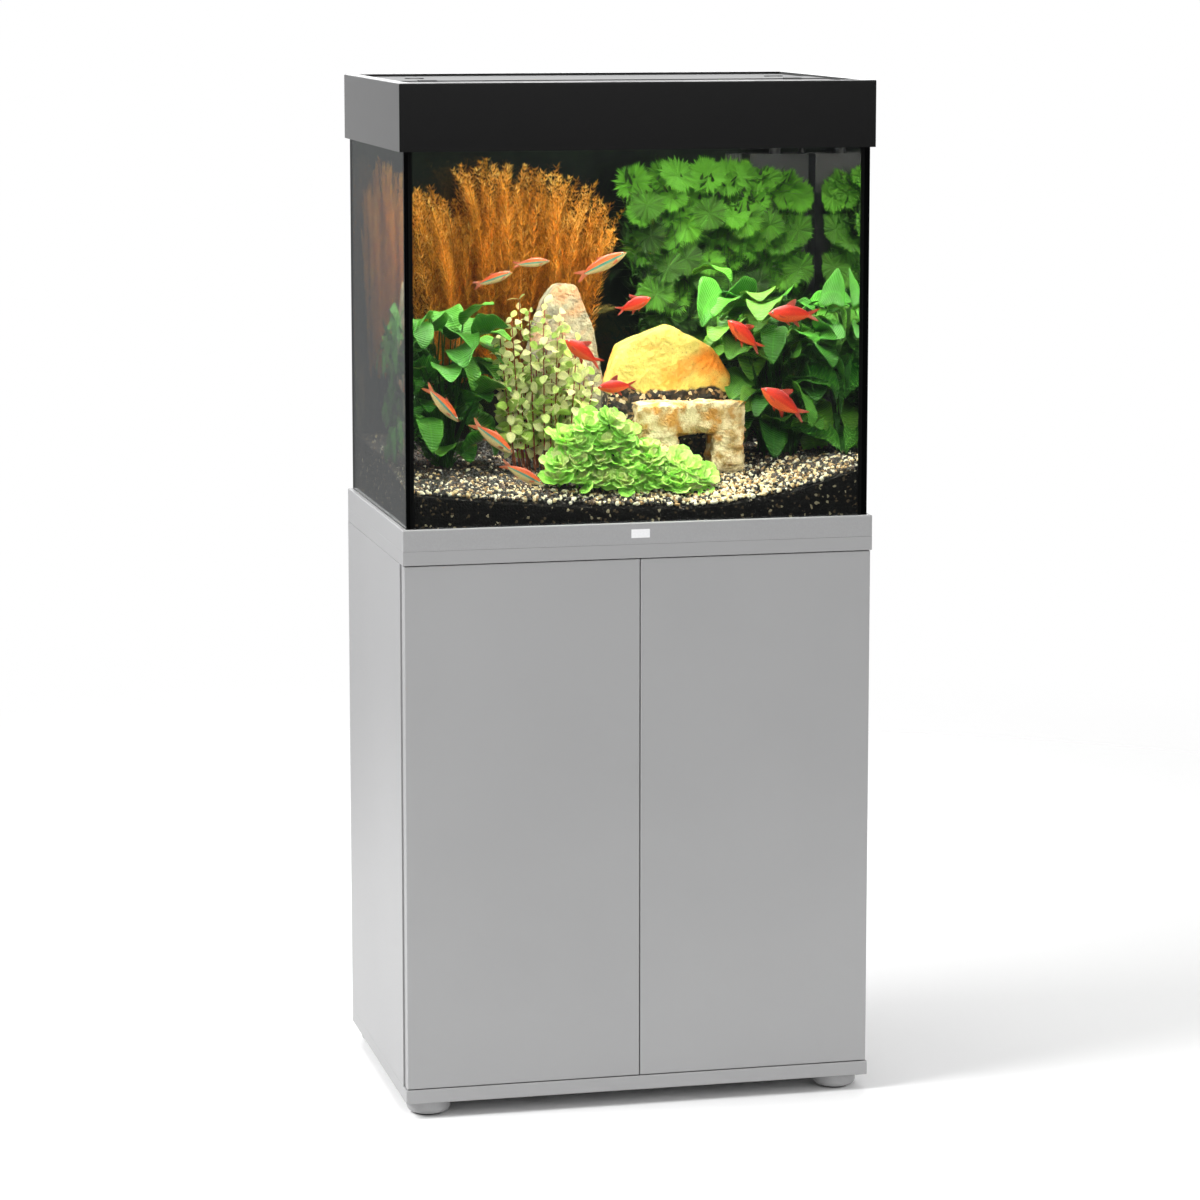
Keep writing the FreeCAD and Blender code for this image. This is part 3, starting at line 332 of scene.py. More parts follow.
def soiled(stone, clean, level):
    """The stone's colour, changed to pebbly soil below a ragged line at this level."""
    height = stone.part(stone.place(), "Z")
    lifted = stone.add("Math", {0: stone.noise(45.0, 4.0), 1: 0.03, 2: height}, operation="MULTIPLY_ADD")
    ragged = lifted.outputs[0]
    buried = stone.add("MapRange", {"Value": ragged, "From Min": level, "From Max": level + 0.004,
                                    "To Min": 1.0, "To Max": 0.0}).outputs["Result"]
    grain = stone.pick(stone.cells(260.0))
    earth = [(0.0, (0.008, 0.006, 0.004)), (0.66, (0.05, 0.03, 0.015)), (0.84, (0.22, 0.13, 0.05)),
             (0.93, (0.60, 0.48, 0.28))]
    return stone.mix(buried, clean, stone.ramp(grain, earth, "CONSTANT"))


def foliage(name, colour, tip, dark=0.32, gloss=0.35, vein=0.0):
    """Leaves: each has its own tone, a lighter midrib and edge, and a soft wet gloss. In several plants the
    tone also carries painted light and shade.
    """
    leaf = Finish(name, gloss, Specular_IOR_Level=0.22)
    grown = leaf.ramp(leaf.tone(), [(0.0, shade(colour, dark)), (0.55, colour), (1.0, tip)])
    across = leaf.part(leaf.mapped("leaf"), "X")
    across = leaf.add("Math", {0: across, 1: 0.5}, operation="SUBTRACT").outputs[0]
    from_rib = leaf.add("Math", {0: across}, operation="ABSOLUTE").outputs[0]
    ribs = [(0.0, (1.35, 1.3, 1.2)), (0.06, 1), (0.38, 1), (0.5, (1.2, 1.15, 1))]
    ribbed = leaf.tinted(vein, grown, from_rib, ribs)
    leaf.feed("Base Color", leaf.tinted(0.6, ribbed, leaf.noise(60.0), [(0.3, 0.72), (0.7, 1.15)]))
    leaf.emboss(leaf.waves("leaf", "Y", 6.0, 2.0), 0.0006 if vein else 0.00018)
    return leaf.material


def pebbly(name, ground):
    """Dark gravel seen edge on or between the loose grains: small grains with a few pale ones."""
    bed = Finish(name, 0.7, Specular_IOR_Level=0.1)
    cells = bed.cells(330.0)
    stops = [(0.0, ground), (0.80, shade(ground, 1.8)), (0.93, (0.10, 0.07, 0.04)),
             (0.98, (0.45, 0.38, 0.24))]
    bed.feed("Base Color", bed.ramp(bed.pick(cells), stops, "CONSTANT"))
    bed.emboss(cells["Distance"], -0.0015)
    return bed.material


def grain_mix(name):
    """Loose grains: each one black, brown, tan, cream or white by its own tone."""
    grains = Finish(name, 0.45)
    stops = [(0.0, (0.012, 0.010, 0.008)), (0.34, (0.07, 0.04, 0.02)), (0.45, (0.36, 0.22, 0.08)),
             (0.60, (0.66, 0.52, 0.28)), (0.76, (0.84, 0.78, 0.58))]
    own = grains.ramp(grains.tone(), stops, "CONSTANT")
    grains.feed("Base Color", grains.tinted(0.5, own, grains.noise(FINE_GRAIN, 2.0), [(0.3, 0.7), (0.7, 1)]))
    return grains.material


def scales(name, back, flank, belly, stripe):
    """Fish skin by its place on the body: back, flank, belly, and a stripe from gill to tail."""
    skin = Finish(name, 0.3, Specular_IOR_Level=0.3, Coat_Weight=0.1, Coat_Roughness=0.15)
    stops = [(0.0, belly), (0.36, belly), (0.46, stripe), (0.56, stripe), (0.64, flank), (0.80, back),
             (1.0, shade(back, 0.6))]
    bands = skin.ramp(skin.part(skin.mapped("skin"), "Y"), stops)
    distance = skin.cells(700.0)["Distance"]
    skin.feed("Base Color", skin.tinted(0.4, bands, distance, [(0.1, 1.1), (0.6, (0.65, 0.62, 0.6))]))
    skin.emboss(distance, 0.0003)
    return skin.material


def membrane(name, colour):
    """Fins: thin and glossy, with rays."""
    fin = Finish(name, 0.3, Coat_Weight=0.3)
    rays = fin.waves("skin", "X", 7.0, 0.6)
    fin.feed("Base Color", fin.ramp(rays, [(0.0, shade(colour, 0.6)), (1.0, colour)]))
    fin.emboss(rays, 0.0003)
    return fin.material


# ---------------------------------------------------------------- shapes on grids

def spots(x, y, z):
    """Points from their three coordinates, each an array or one number for all."""
    return np.stack(np.broadcast_arrays(x, y, z), axis=-1)


def unit(vectors):
    """Each vector at length one."""
    return vectors / np.maximum(np.linalg.norm(vectors, axis=-1, keepdims=True), 1e-9)


def lattice_noise(points, size, seed, octaves=3):
    """Value noise from -1 to 1: random numbers on a lattice, blended smoothly, with finer layers.

    Each layer has half the cell size and half the weight of the one before. A cell's corner takes its number
    from a table, at the place given by its coordinates times three primes, joined by exclusive or.
    """
    primes, table_size = np.array([73856093, 19349663, 83492791]), 4096
    total = np.zeros(points.shape[:-1])
    weight, reach = 1.0, 0.0
    for octave in range(octaves):
        table = np.random.default_rng(seed + octave).random(table_size)
        scaled = points / (size / 2 ** octave)
        cell = np.floor(scaled).astype(np.int64)
        part = scaled - cell
        part = part * part * (3 - 2 * part)
        layer = np.zeros(points.shape[:-1])
        for corner in np.ndindex(2, 2, 2):
            index = np.bitwise_xor.reduce((cell + np.array(corner)) * primes, axis=-1)
            blend = np.prod(np.where(np.array(corner) == 1, part, 1 - part), axis=-1)
            layer += blend * table[index % table_size]
        total += weight * (2 * layer - 1)
        reach += weight
        weight *= 0.5
    return total / reach


class Heap:
    """Points, faces and their values, gathered for one mesh."""

    def __init__(self, layer="leaf"):
        self.layer = layer
        self.points, self.maps, self.tones, self.groups = [], [], [], []
        self.count = 0

    def add(self, points, faces, maps=0.0, tone=0.5, slot=0):
        """Takes points (n, 3), a list of face index arrays, their map (n, 2) and tone (n)."""
        self.groups += [(group + self.count, slot) for group in faces]
        self.points.append(points)
        self.maps.append(np.broadcast_to(maps, (len(points), 2)))
        self.tones.append(np.broadcast_to(tone, len(points)))
        self.count += len(points)

    def add_copy(self, other, points):
        """Takes the faces and values of another heap, with its points moved."""
        self.groups += [(group + self.count, slot) for group, slot in other.groups]
        self.points.append(points)
        self.maps += other.maps
        self.tones += other.tones
        self.count += other.count

    def mesh(self, name, materials, smooth=True, pressed=False):
        """One object with a mesh of everything in the heap; pressed keeps it inside the panes."""
        points = np.concatenate(self.points)
        faces = [face for group, _ in self.groups for face in group.tolist()]
        data = bpy.data.meshes.new(name)
        data.from_pydata((pressed_inside(points) if pressed else points).tolist(), [], faces)
        for material in materials:
            data.materials.append(material)
        slots = np.concatenate([np.full(len(group), slot, dtype=np.int32) for group, slot in self.groups])
        data.polygons.foreach_set("material_index", slots)
        data.polygons.foreach_set("use_smooth", np.full(len(faces), smooth))
        ends = np.empty(len(data.loops), dtype=np.int32)
        data.loops.foreach_get("vertex_index", ends)
        layer = data.uv_layers.new(name=self.layer)
        layer.data.foreach_set("uv", np.concatenate(self.maps)[ends].ravel().astype(np.float32))
        tone = data.attributes.new("tone", "FLOAT", "POINT")
        tone.data.foreach_set("value", np.concatenate(self.tones).astype(np.float32))
        turned = bmesh.new()
        turned.from_mesh(data)
        bmesh.ops.recalc_face_normals(turned, faces=turned.faces)
        turned.to_mesh(data)
        turned.free()
        piece = bpy.data.objects.new(name, data)
        bpy.context.scene.collection.objects.link(piece)
        return piece


def finish_piece(piece, node_name, thickness=0.0):
    """Thickens a piece of single sheets if asked, seats it on the frame and hides the node it stands in for.
    """
    if thickness:
        wall = piece.modifiers.new("thickness", "SOLIDIFY")
        wall.thickness = thickness
        wall.offset = 0
    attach(piece, ROOT)
    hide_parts(node_name)


def corners(node_name):
    """Lowest and highest corner of a node, as arrays."""
    low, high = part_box(node_name)
    return np.array(low), np.array(high)


def pressed_inside(points):
    """Points near a pane are pressed back from it, each the more the nearer it would come, so leaves bend."""
    margin, gap = 0.010, 0.002
    low = np.array([corners("left_glass")[1][0], corners("front_glass")[1][1], 0]) + gap
    high = np.array([corners("right_glass")[0][0], corners("back_glass")[0][1], sizes().water_line]) - gap
    over = np.maximum(points - (high - margin), 0)
    points = np.where(over > 0, high - margin * np.exp(-over / margin), points)
    under = np.maximum(low + margin - points, 0)
    return np.where(under > 0, low + margin * np.exp(-under / margin), points)


def grid_faces(copies, rows, columns, wrapped=False):
    """Quads over copies of a grid; a wrapped grid also joins its last column to its first."""
    row = np.arange(rows - 1)[:, None]
    column = np.arange(columns if wrapped else columns - 1)[None, :]
    following = (column + 1) % columns
    first = row * columns + column
    after = row * columns + following
    quads = np.stack([first, after, after + columns, first + columns], axis=-1).reshape(1, -1, 4)
    return (quads + (np.arange(copies) * rows * columns)[:, None, None]).reshape(-1, 4)


def grid_rim(rows, columns):
    """Point numbers round the edge of a grid, in order."""
    index = np.arange(rows * columns).reshape(rows, columns)
    return np.concatenate([index[0, :-1], index[:-1, -1], index[-1, :0:-1], index[:0:-1, 0]])


def side_walls(upper, lower):
    """Quads between two closed rows of points."""
    return np.stack([upper, lower, np.roll(lower, -1), np.roll(upper, -1)], axis=-1)


def loft(heap, centres, across, upward, sides=12, tone=0.5, slot=0, square=1.0, height_map=False):
    """Rings along a path, closed at both ends.

    Each ring is centre + c * across + s * upward, where c and s are the cosine and sine of the angle round
    the ring, each raised to the power "square" with its sign kept: 1 is an ellipse and less is a rounder box.
    centres, across and upward are (copies, rings, 3). The map runs along the path, and round the ring or,
    with height_map, up it.
    """
    copies, rings = centres.shape[:2]
    angle = np.linspace(0, TAU, sides, endpoint=False)
    cosine = np.sign(np.cos(angle)) * np.abs(np.cos(angle)) ** square
    sine = np.sign(np.sin(angle)) * np.abs(np.sin(angle)) ** square
    points = (centres[:, :, None, :] + cosine[None, None, :, None] * across[:, :, None, :]
              + sine[None, None, :, None] * upward[:, :, None, :])
    along = np.linspace(0, 1, rings)[None, :, None]
    around = (sine / 2 + 0.5 if height_map else angle / TAU)[None, None, :]
    maps = np.stack([np.broadcast_to(part, points.shape[:3]) for part in (along, around)], axis=-1)
    start = (np.arange(copies) * rings * sides)[:, None]
    ring = np.arange(sides)[None, :]
    faces = [grid_faces(copies, rings, sides, wrapped=True), start + ring[:, ::-1],
             start + (rings - 1) * sides + ring]
    heap.add(points.reshape(-1, 3), faces, maps.reshape(-1, 2), tone, slot)


def leaf_blades(heap, base, forward, side, length, width, pitch, bend, rows=9, columns=5, stalk=0.0,
                belly=0.85, blunt=0.75, cup=0.25, wave=0.0, ripples=3.0, roll=0.0, tone=0.5, phase=0.0):
    """Leaves as curved sheets.

    Along a leaf the midrib turns steadily from its first pitch by its bend, in the plane of forward and
    normal. Across it, the half width is a sine of the distance beyond the stalk, to the powers belly and
    blunt; the edges rise with the square of the distance from the rib (cup), and ripple as a sine along the
    leaf (wave).
    """
    count = len(base)
    length, width, pitch, bend, roll, phase, tone = (
        np.broadcast_to(np.asarray(value, dtype=float), (count,)) for value in
        (length, width, pitch, bend, roll, phase, tone))
    normal = unit(np.cross(forward, side))
    along = np.linspace(0, 1, rows)
    angle = pitch[:, None] + bend[:, None] * along[None, :]
    step = (length / (rows - 1))[:, None]
    start = np.zeros((count, 1))
    out, rise = (np.concatenate([start, np.cumsum(turn(angle[:, :-1]), axis=1)], axis=1) * step
                 for turn in (np.cos, np.sin))
    blade = np.clip((along - stalk) / (1 - stalk), 0, 1)
    half = np.maximum(np.sin(np.pi * blade ** belly) ** blunt, 0.035)[None, :] * width[:, None] / 2
    edge = np.linspace(-1, 1, columns)[None, None, :]
    turned = np.cos(roll)[:, None, None] * side[:, None, :] + np.sin(roll)[:, None, None] * normal[:, None, :]
    lifted = -np.sin(angle)[..., None] * forward[:, None, :] + np.cos(angle)[..., None] * normal[:, None, :]
    rippling = np.sin(TAU * ripples * along[None, :, None] + phase[:, None, None] + 1.3 * edge)
    lift = cup * edge ** 2 * half[..., None] + wave * half[..., None] * np.abs(edge) * rippling
    points = (base[:, None, None, :] + out[..., None, None] * forward[:, None, None, :]
              + rise[..., None, None] * normal[:, None, None, :]
              + (edge * half[..., None])[..., None] * turned[:, :, None, :]
              + lift[..., None] * lifted[:, :, None, :])
    shape = points.shape[:3]
    maps = np.stack([np.broadcast_to(part, shape) for part in (edge / 2 + 0.5, along[None, :, None])],
                    axis=-1)
    tones = np.broadcast_to(tone[:, None, None], shape)
    heap.add(points.reshape(-1, 3), [grid_faces(count, rows, columns)], maps.reshape(-1, 2), tones.ravel())


def level_frames(heading):
    """Forward and side directions of leaves that grow towards a heading, measured round the vertical."""
    return (spots(np.cos(heading), np.sin(heading), 0.0), spots(-np.sin(heading), np.cos(heading), 0.0))


def tilted_frames(axis, turn):
    """Forward and side directions in the plane across an axis, at an angle within that plane."""
    axis = unit(axis)
    first = unit(np.cross(axis, np.broadcast_to(np.array([1.0, 0.0, 0.0]), axis.shape)))
    second = np.cross(axis, first)
    cosine, sine = np.cos(turn)[..., None], np.sin(turn)[..., None]
    return cosine * first + sine * second, -sine * first + cosine * second


def stem_tubes(heap, paths, radius, sides=5, tone=0.2, slot=0, taper=0.5):
    """Thin stalks along upright paths, (copies, points, 3), narrowing to their tips."""
    count = paths.shape[1]
    thickness = radius * (1 - (1 - taper) * np.linspace(0, 1, count))[None, :, None]
    across = np.broadcast_to(np.array([1.0, 0, 0]), paths.shape) * thickness
    upward = np.broadcast_to(np.array([0, 1.0, 0]), paths.shape) * thickness
    loft(heap, paths, across, upward, sides, tone, slot)


def ground_height(x, y):
    """Height of the gravel: a trough along the front, banked up at both ends, that rises to the back."""
    low, high = corners("gravel_bed")
    share = np.clip((y - low[1]) / (high[1] - low[1]), 0, 1)
    trough = 0.06
    right = x > trough
    aside = (x - trough) / np.where(right, 0.235, 0.355)
    front = high[2] - 0.069 + np.where(right, 0.048, 0.029) * aside ** 2
    back = high[2] - 0.004
    return front + (back - front) * share ** 0.42 + 0.003 * lattice_noise(spots(x, y, 0.0), 0.07, 11)


# ---------------------------------------------------------------- finishes of the frame's nodes

class Builder:
    """What every operator of this add-on shares."""
    bl_options = {"REGISTER", "UNDO"}


def paint(finish, *names):
    """Gives nodes of the frame one finish."""
    for name in names:
        data = NODES[name].data
        data.materials.clear()
        data.materials.append(finish)


class AQUARIUM_OT_cabinet(Builder, Operator):
    """Finish the boards, doors and feet"""
    bl_idname = "aquarium.cabinet"
    bl_label = "Cabinet"

    def execute(self, context):
        grey = chosen("cabinet")
        paint(laminate("grey laminate", grey), "base_plate", "top_board", "left_side_panel",
              "right_side_panel", "back_panel", "shelf")
        paint(laminate("door laminate", shade(grey, 1.01)), "left_door", "right_door")
        paint(moulded("grey foot plastic", shade(grey, 0.95), 0.5), "feet")
        paint(felt("black felt", (0.02, 0.02, 0.02)), "foot_pads")
        return {"FINISHED"}


class AQUARIUM_OT_fittings(Builder, Operator):
    """Finish the hinges, latches, screws, pins and dowels"""
    bl_idname = "aquarium.fittings"
    bl_label = "Fittings"

    def execute(self, context):
        paint(metal("nickel plate", (0.62, 0.60, 0.57), 0.28), "hinge_mounting_plates", "hinge_arms",
              "left_hinge_cups", "right_hinge_cups", "shelf_pins", "left_strike_plate", "right_strike_plate",
              "flap_hinge_pins")
        paint(metal("zinc", (0.45, 0.45, 0.46), 0.42), "cam_lock_fittings", "hinge_screws", "foot_screws")
        paint(timber("beech", (0.50, 0.31, 0.15)), "wood_dowels")
        paint(moulded("latch plastic", (0.22, 0.22, 0.23), 0.4), "push_latch_housings", "left_latch_plunger",
              "right_latch_plunger")
        return {"FINISHED"}


class AQUARIUM_OT_tank(Builder, Operator):
    """Finish the base frame, panes, seams and background"""
    bl_idname = "aquarium.tank"
    bl_label = "Tank"

    def execute(self, context):
        paint(moulded("grey frame plastic", chosen("cabinet"), 0.42), "base_frame")
        # The silver badge is a pale grey plastic, not metal: its pale colour is a painted reflection.
        paint(moulded("silver badge", (0.84, 0.84, 0.85), 0.3), "name_plate")
        paint(clear("clear glass", (0.965, 0.99, 0.975), 1.5, 0.62), "bottom_glass", "front_glass",
              "back_glass", "left_glass", "right_glass")
        paint(rubbery("black silicone", (0.006, 0.006, 0.006)), "silicone_seams")
        paint(murky("background film", (0.003, 0.005, 0.003), (0.030, 0.050, 0.026)), "background_film")
        return {"FINISHED"}


class AQUARIUM_OT_hood(Builder, Operator):
    """Finish the hood, lids, light bar and tubes"""
    bl_idname = "aquarium.hood"
    bl_label = "Hood and light"

    def execute(self, context):
        black = chosen("hood")
        paint(moulded("black hood plastic", black, 0.22, FINE_GRAIN, haze=0.45), "hood_frame")
        paint(moulded("black lid plastic", shade(black, 1.3), 0.42, FINE_GRAIN), "front_flap", "rear_flap",
              "light_bar")
        paint(glow("lit tube", (0.95, 0.98, 1.0), 6.0), "light_tubes")
        paint(moulded("grey cap plastic", (0.16, 0.16, 0.17), 0.4), "tube_end_caps")
        return {"FINISHED"}


class AQUARIUM_OT_filter(Builder, Operator):
    """Finish the filter, pump and heater"""
    bl_idname = "aquarium.filter"
    bl_label = "Filter and heater"

    def execute(self, context):
        paint(moulded("black filter plastic", (0.008, 0.008, 0.009), 0.5), "filter_housing")
        paint(moulded("black pump plastic", (0.012, 0.012, 0.013), 0.35), "pump_body", "outlet_nozzle",
              "heater_clips")
        paint(moulded("white rotor plastic", (0.6, 0.6, 0.6), 0.3), "pump_impeller")
        paint(foam("blue foam", (0.03, 0.10, 0.22)), "filter_sponges")
        paint(moulded("grey knob plastic", (0.03, 0.03, 0.032), 0.4), "heater_knob")
        paint(clear("smoked glass", (0.45, 0.5, 0.5), 1.5), "heater_tube")
        return {"FINISHED"}


# ---------------------------------------------------------------- gravel and rocks

def gravel_grain():
    """Corners and faces of a small lump: a regular solid of twenty triangles, its corners at length one."""
    golden = (1 + 5 ** 0.5) / 2
    lump = np.array([(-1, golden, 0), (1, golden, 0), (-1, -golden, 0), (1, -golden, 0),
                     (0, -1, golden), (0, 1, golden), (0, -1, -golden), (0, 1, -golden),
                     (golden, 0, -1), (golden, 0, 1), (-golden, 0, -1), (-golden, 0, 1)], dtype=float)
    faces = np.array([(0, 11, 5), (0, 5, 1), (0, 1, 7), (0, 7, 10), (0, 10, 11), (1, 5, 9), (5, 11, 4),
                      (11, 10, 2), (10, 7, 6), (7, 1, 8), (3, 9, 4), (3, 4, 2), (3, 2, 6), (3, 6, 8),
                      (3, 8, 9), (4, 9, 5), (2, 4, 11), (6, 2, 10), (8, 6, 7), (9, 8, 1)])
    return unit(lump), faces


class AQUARIUM_OT_gravel(Builder, Operator):
    """Lay the gravel bed and its loose grains"""
    bl_idname = "aquarium.gravel"
    bl_label = "Gravel"

    def execute(self, context):
        low, high = corners("gravel_bed")
        self.ground(low, high)
        self.scatter(low, high)
        return {"FINISHED"}

    def ground(self, low, high):
        """The bed under the loose grains: a grid at their height, with a flat base and upright sides."""
        inset, sunk = 0.0007, 0.0012
        rows, columns = 100, 150
        across, deep = np.meshgrid(np.linspace(low[0] + inset, high[0] - inset, columns),
                                   np.linspace(low[1] + inset, high[1] - inset, rows))
        top = spots(across, deep, ground_height(across, deep) - sunk).reshape(-1, 3)
        below = spots(across, deep, low[2] + inset).reshape(-1, 3)
        faces, rim = grid_faces(1, rows, columns), grid_rim(rows, columns)
        heap = Heap()
        heap.add(np.concatenate([top, below]),
                 [faces, faces[:, ::-1] + len(top), side_walls(rim, rim + len(top))], tone=0.0)
        finish = pebbly("gravel ground", chosen("gravel"))
        finish_piece(heap.mesh("gravel_ground", [finish], smooth=False), "gravel_bed")

    def scatter(self, low, high):
        """Grains are twelve-cornered lumps, stretched and turned, thickest along the front. Most are pale
        along the front, above all at its middle, and few towards the back: the gravel's own mix, spread as
        painted light and shade.
        """
        rng = np.random.default_rng(5)
        count = sizes().pebbles
        lump, faces = gravel_grain()
        margin = 0.0035
        x = rng.uniform(low[0] + margin, high[0] - margin, count)
        y = low[1] + margin + (high[1] - low[1] - 2 * margin) * rng.beta(0.85, 2.0, count)
        size = rng.uniform(0.0015, 0.0034, count)
        z = ground_height(x, y) + size * 0.1
        stretched = lump[None] * (rng.uniform(0.7, 1.25, (count, 1, 3)) * size[:, None, None])
        turn = rng.uniform(0, TAU, count)[:, None]
        cosine, sine = np.cos(turn), np.sin(turn)
        turned = spots(stretched[..., 0] * cosine - stretched[..., 1] * sine,
                       stretched[..., 0] * sine + stretched[..., 1] * cosine, stretched[..., 2])
        points = turned + spots(x, y, z)[:, None, :]
        # The share of pale grains falls towards the back and peaks at the middle front: painted light and
        # shade on the gravel.
        share = (y - low[1]) / (high[1] - low[1])
        middle = np.exp(-((x - 0.12) / 0.12) ** 2)
        lit = np.clip(0.40 - 0.9 * share + 0.42 * middle * (1 - share), 0.05, 0.80)
        pale = rng.random(count) < lit
        tone = np.where(pale, rng.uniform(0.45, 1.0, count), rng.uniform(0.0, 0.45, count))
        faces = (faces[None] + (np.arange(count) * len(lump))[:, None, None]).reshape(-1, 3)
        heap = Heap()
        heap.add(points.reshape(-1, 3), [faces], tone=np.repeat(tone, len(lump)))
        grains = heap.mesh("gravel_grains", [grain_mix("loose grains")], smooth=False)
        finish_piece(grains, "gravel_bed")


def weathered(points, centre, amount, size, seed):
    """Pushes a rock's skin in and out from its middle: broad dents, broken ledges and fine roughness."""
    broad = lattice_noise(points, size, seed, 2)
    ledges = np.round(3 * lattice_noise(points, size * 0.55, seed + 7, 2)) / 3
    fine = lattice_noise(points, size * 0.16, seed + 13, 3)
    return points + unit(points - centre) * (amount * (0.55 * broad + 0.30 * ledges + 0.22 * fine))[..., None]


def node_arrays(node_name):
    """Corner points of a node's mesh, and the middles and directions of its faces."""
    data = NODES[node_name].data
    arrays = []
    for items, value in ((data.vertices, "co"), (data.polygons, "center"), (data.polygons, "normal")):
        array = np.empty(len(items) * 3)
        items.foreach_get(value, array)
        arrays.append(array.reshape(-1, 3))
    return arrays


def broken_rock(name, node_name, finish, seed, chips, amount):
    """A rock broken along planes.

    Seen from its middle, the skin lies at 1 / (sum of (n . d / h) ^ 60) ^ (1 / 60) in each direction d, which
    is the nearest of all planes with direction n and distance h, slightly rounded where they meet. The planes
    are the flat sides of the rock's own solid, and chips that cut off up to an eighth of its reach.
    """
    points, middles, normals = node_arrays(node_name)
    middle = (points.min(axis=0) + points.max(axis=0)) / 2
    reach = ((middles - middle) * normals).sum(axis=1)
    planes = np.unique(np.round(np.column_stack([normals, reach]), 4), axis=0)
    rng = np.random.default_rng(seed)
    broken = unit(rng.normal(0, 1, (chips, 3)) * np.array([1.0, 1.3, 0.8]))
    support = ((points - middle) @ broken.T).max(axis=0) * rng.uniform(0.88, 0.98, chips)
    normals = np.concatenate([planes[:, :3], broken])
    reach = np.concatenate([planes[:, 3], support])
    rings, sides, pole, sharpness = 110, 150, 0.01, 60
    fall = np.linspace(pole, np.pi - pole, rings)[:, None]
    heading = np.linspace(0, TAU, sides, endpoint=False)[None, :]
    direction = spots(np.sin(fall) * np.cos(heading), np.sin(fall) * np.sin(heading), np.cos(fall))
    share = np.clip(direction @ normals.T, 0, None) / reach
    skin = middle + direction * ((share ** sharpness).sum(axis=-1) ** (-1 / sharpness))[..., None]
    skin = weathered(skin, middle, amount, 0.045, seed).reshape(-1, 3)
    caps = np.stack([np.arange(sides)[::-1], np.arange(sides) + len(skin) - sides])
    heap = Heap()
    heap.add(skin, [grid_faces(1, rings, sides, wrapped=True), caps])
    finish_piece(heap.mesh(name, [finish]), node_name)


class AQUARIUM_OT_stones(Builder, Operator):
    """Set the three rocks"""
    bl_idname = "aquarium.stones"
    bl_label = "Rocks"

    def execute(self, context):
        pale, gold = chosen("pale_rock"), chosen("golden_rock")
        cream = rock("cream rock", shade(pale, 0.66), shade(pale, 0.20), (0.36, 0.19, 0.09), 0.54, 48.0)
        broken_rock("tall_rock", "tall_stone", cream, seed=23, chips=18, amount=0.006)
        soil = corners("slab_stone")[1][2] + 0.024
        golden = rock("golden rock", shade(gold, 0.85), shade(gold, 0.55), (0.84, 0.26, 0.015), 0.485, 24.0,
                      soil)
        broken_rock("golden_rock", "golden_stone", golden, seed=37, chips=7, amount=0.0035)
        self.arch()
        return {"FINISHED"}

    def arch(self):
        """The slab: a flat rough board of stone on two squarish legs, with the cave between them."""
        low, high = corners("slab_stone")
        depth = (low[1] + 0.004, high[1] - 0.004)
        board, board_foot, leg_top = (0.003, 0.143), 0.857, 0.87
        heap = Heap()
        self.block(heap, low[0] + np.array(board), (board_foot, high[2] - 0.002), depth, lying=True)
        for leg in ((0.004, 0.054), (0.100, 0.143)):
            self.block(heap, low[0] + np.array(leg), (low[2], leg_top), depth)
        ochre = rock("ochre slab", (0.90, 0.76, 0.46), (0.48, 0.30, 0.10), (0.52, 0.24, 0.04), 0.49, 75.0)
        finish_piece(heap.mesh("slab_rock", [ochre]), "slab_stone")

    def block(self, heap, width, height, depth, lying=False):
        """A rough squared stone between two bounds each way; its rings follow X if lying, else Z."""
        rings, sides = 60, 72
        share = (1 - np.cos(np.linspace(0, np.pi, rings))) / 2
        swell = (np.sin(np.pi * np.linspace(0.04, 0.96, rings)) ** 0.12)[:, None]
        bounds = np.array([width, depth, height])
        middle, half = bounds.sum(axis=1) / 2, (bounds[:, 1] - bounds[:, 0]) / 2
        main, other = (0, 2) if lying else (2, 0)
        centres = np.tile(middle, (rings, 1))
        centres[:, main] += half[main] * (2 * share - 1)
        across = np.zeros((rings, 3))
        across[:, other] = half[other] * (1 if lying else -1)
        upward = np.zeros((rings, 3))
        upward[:, 1] = half[1]
        loft(heap, centres[None], (across * swell)[None], (upward * swell)[None], sides, square=0.30)
        dented = weathered(heap.points[-1], middle, 0.013, 0.034, 48)
        heap.points[-1] = weathered(dented, middle, 0.004, 0.009, 49)


# ---------------------------------------------------------------- plants

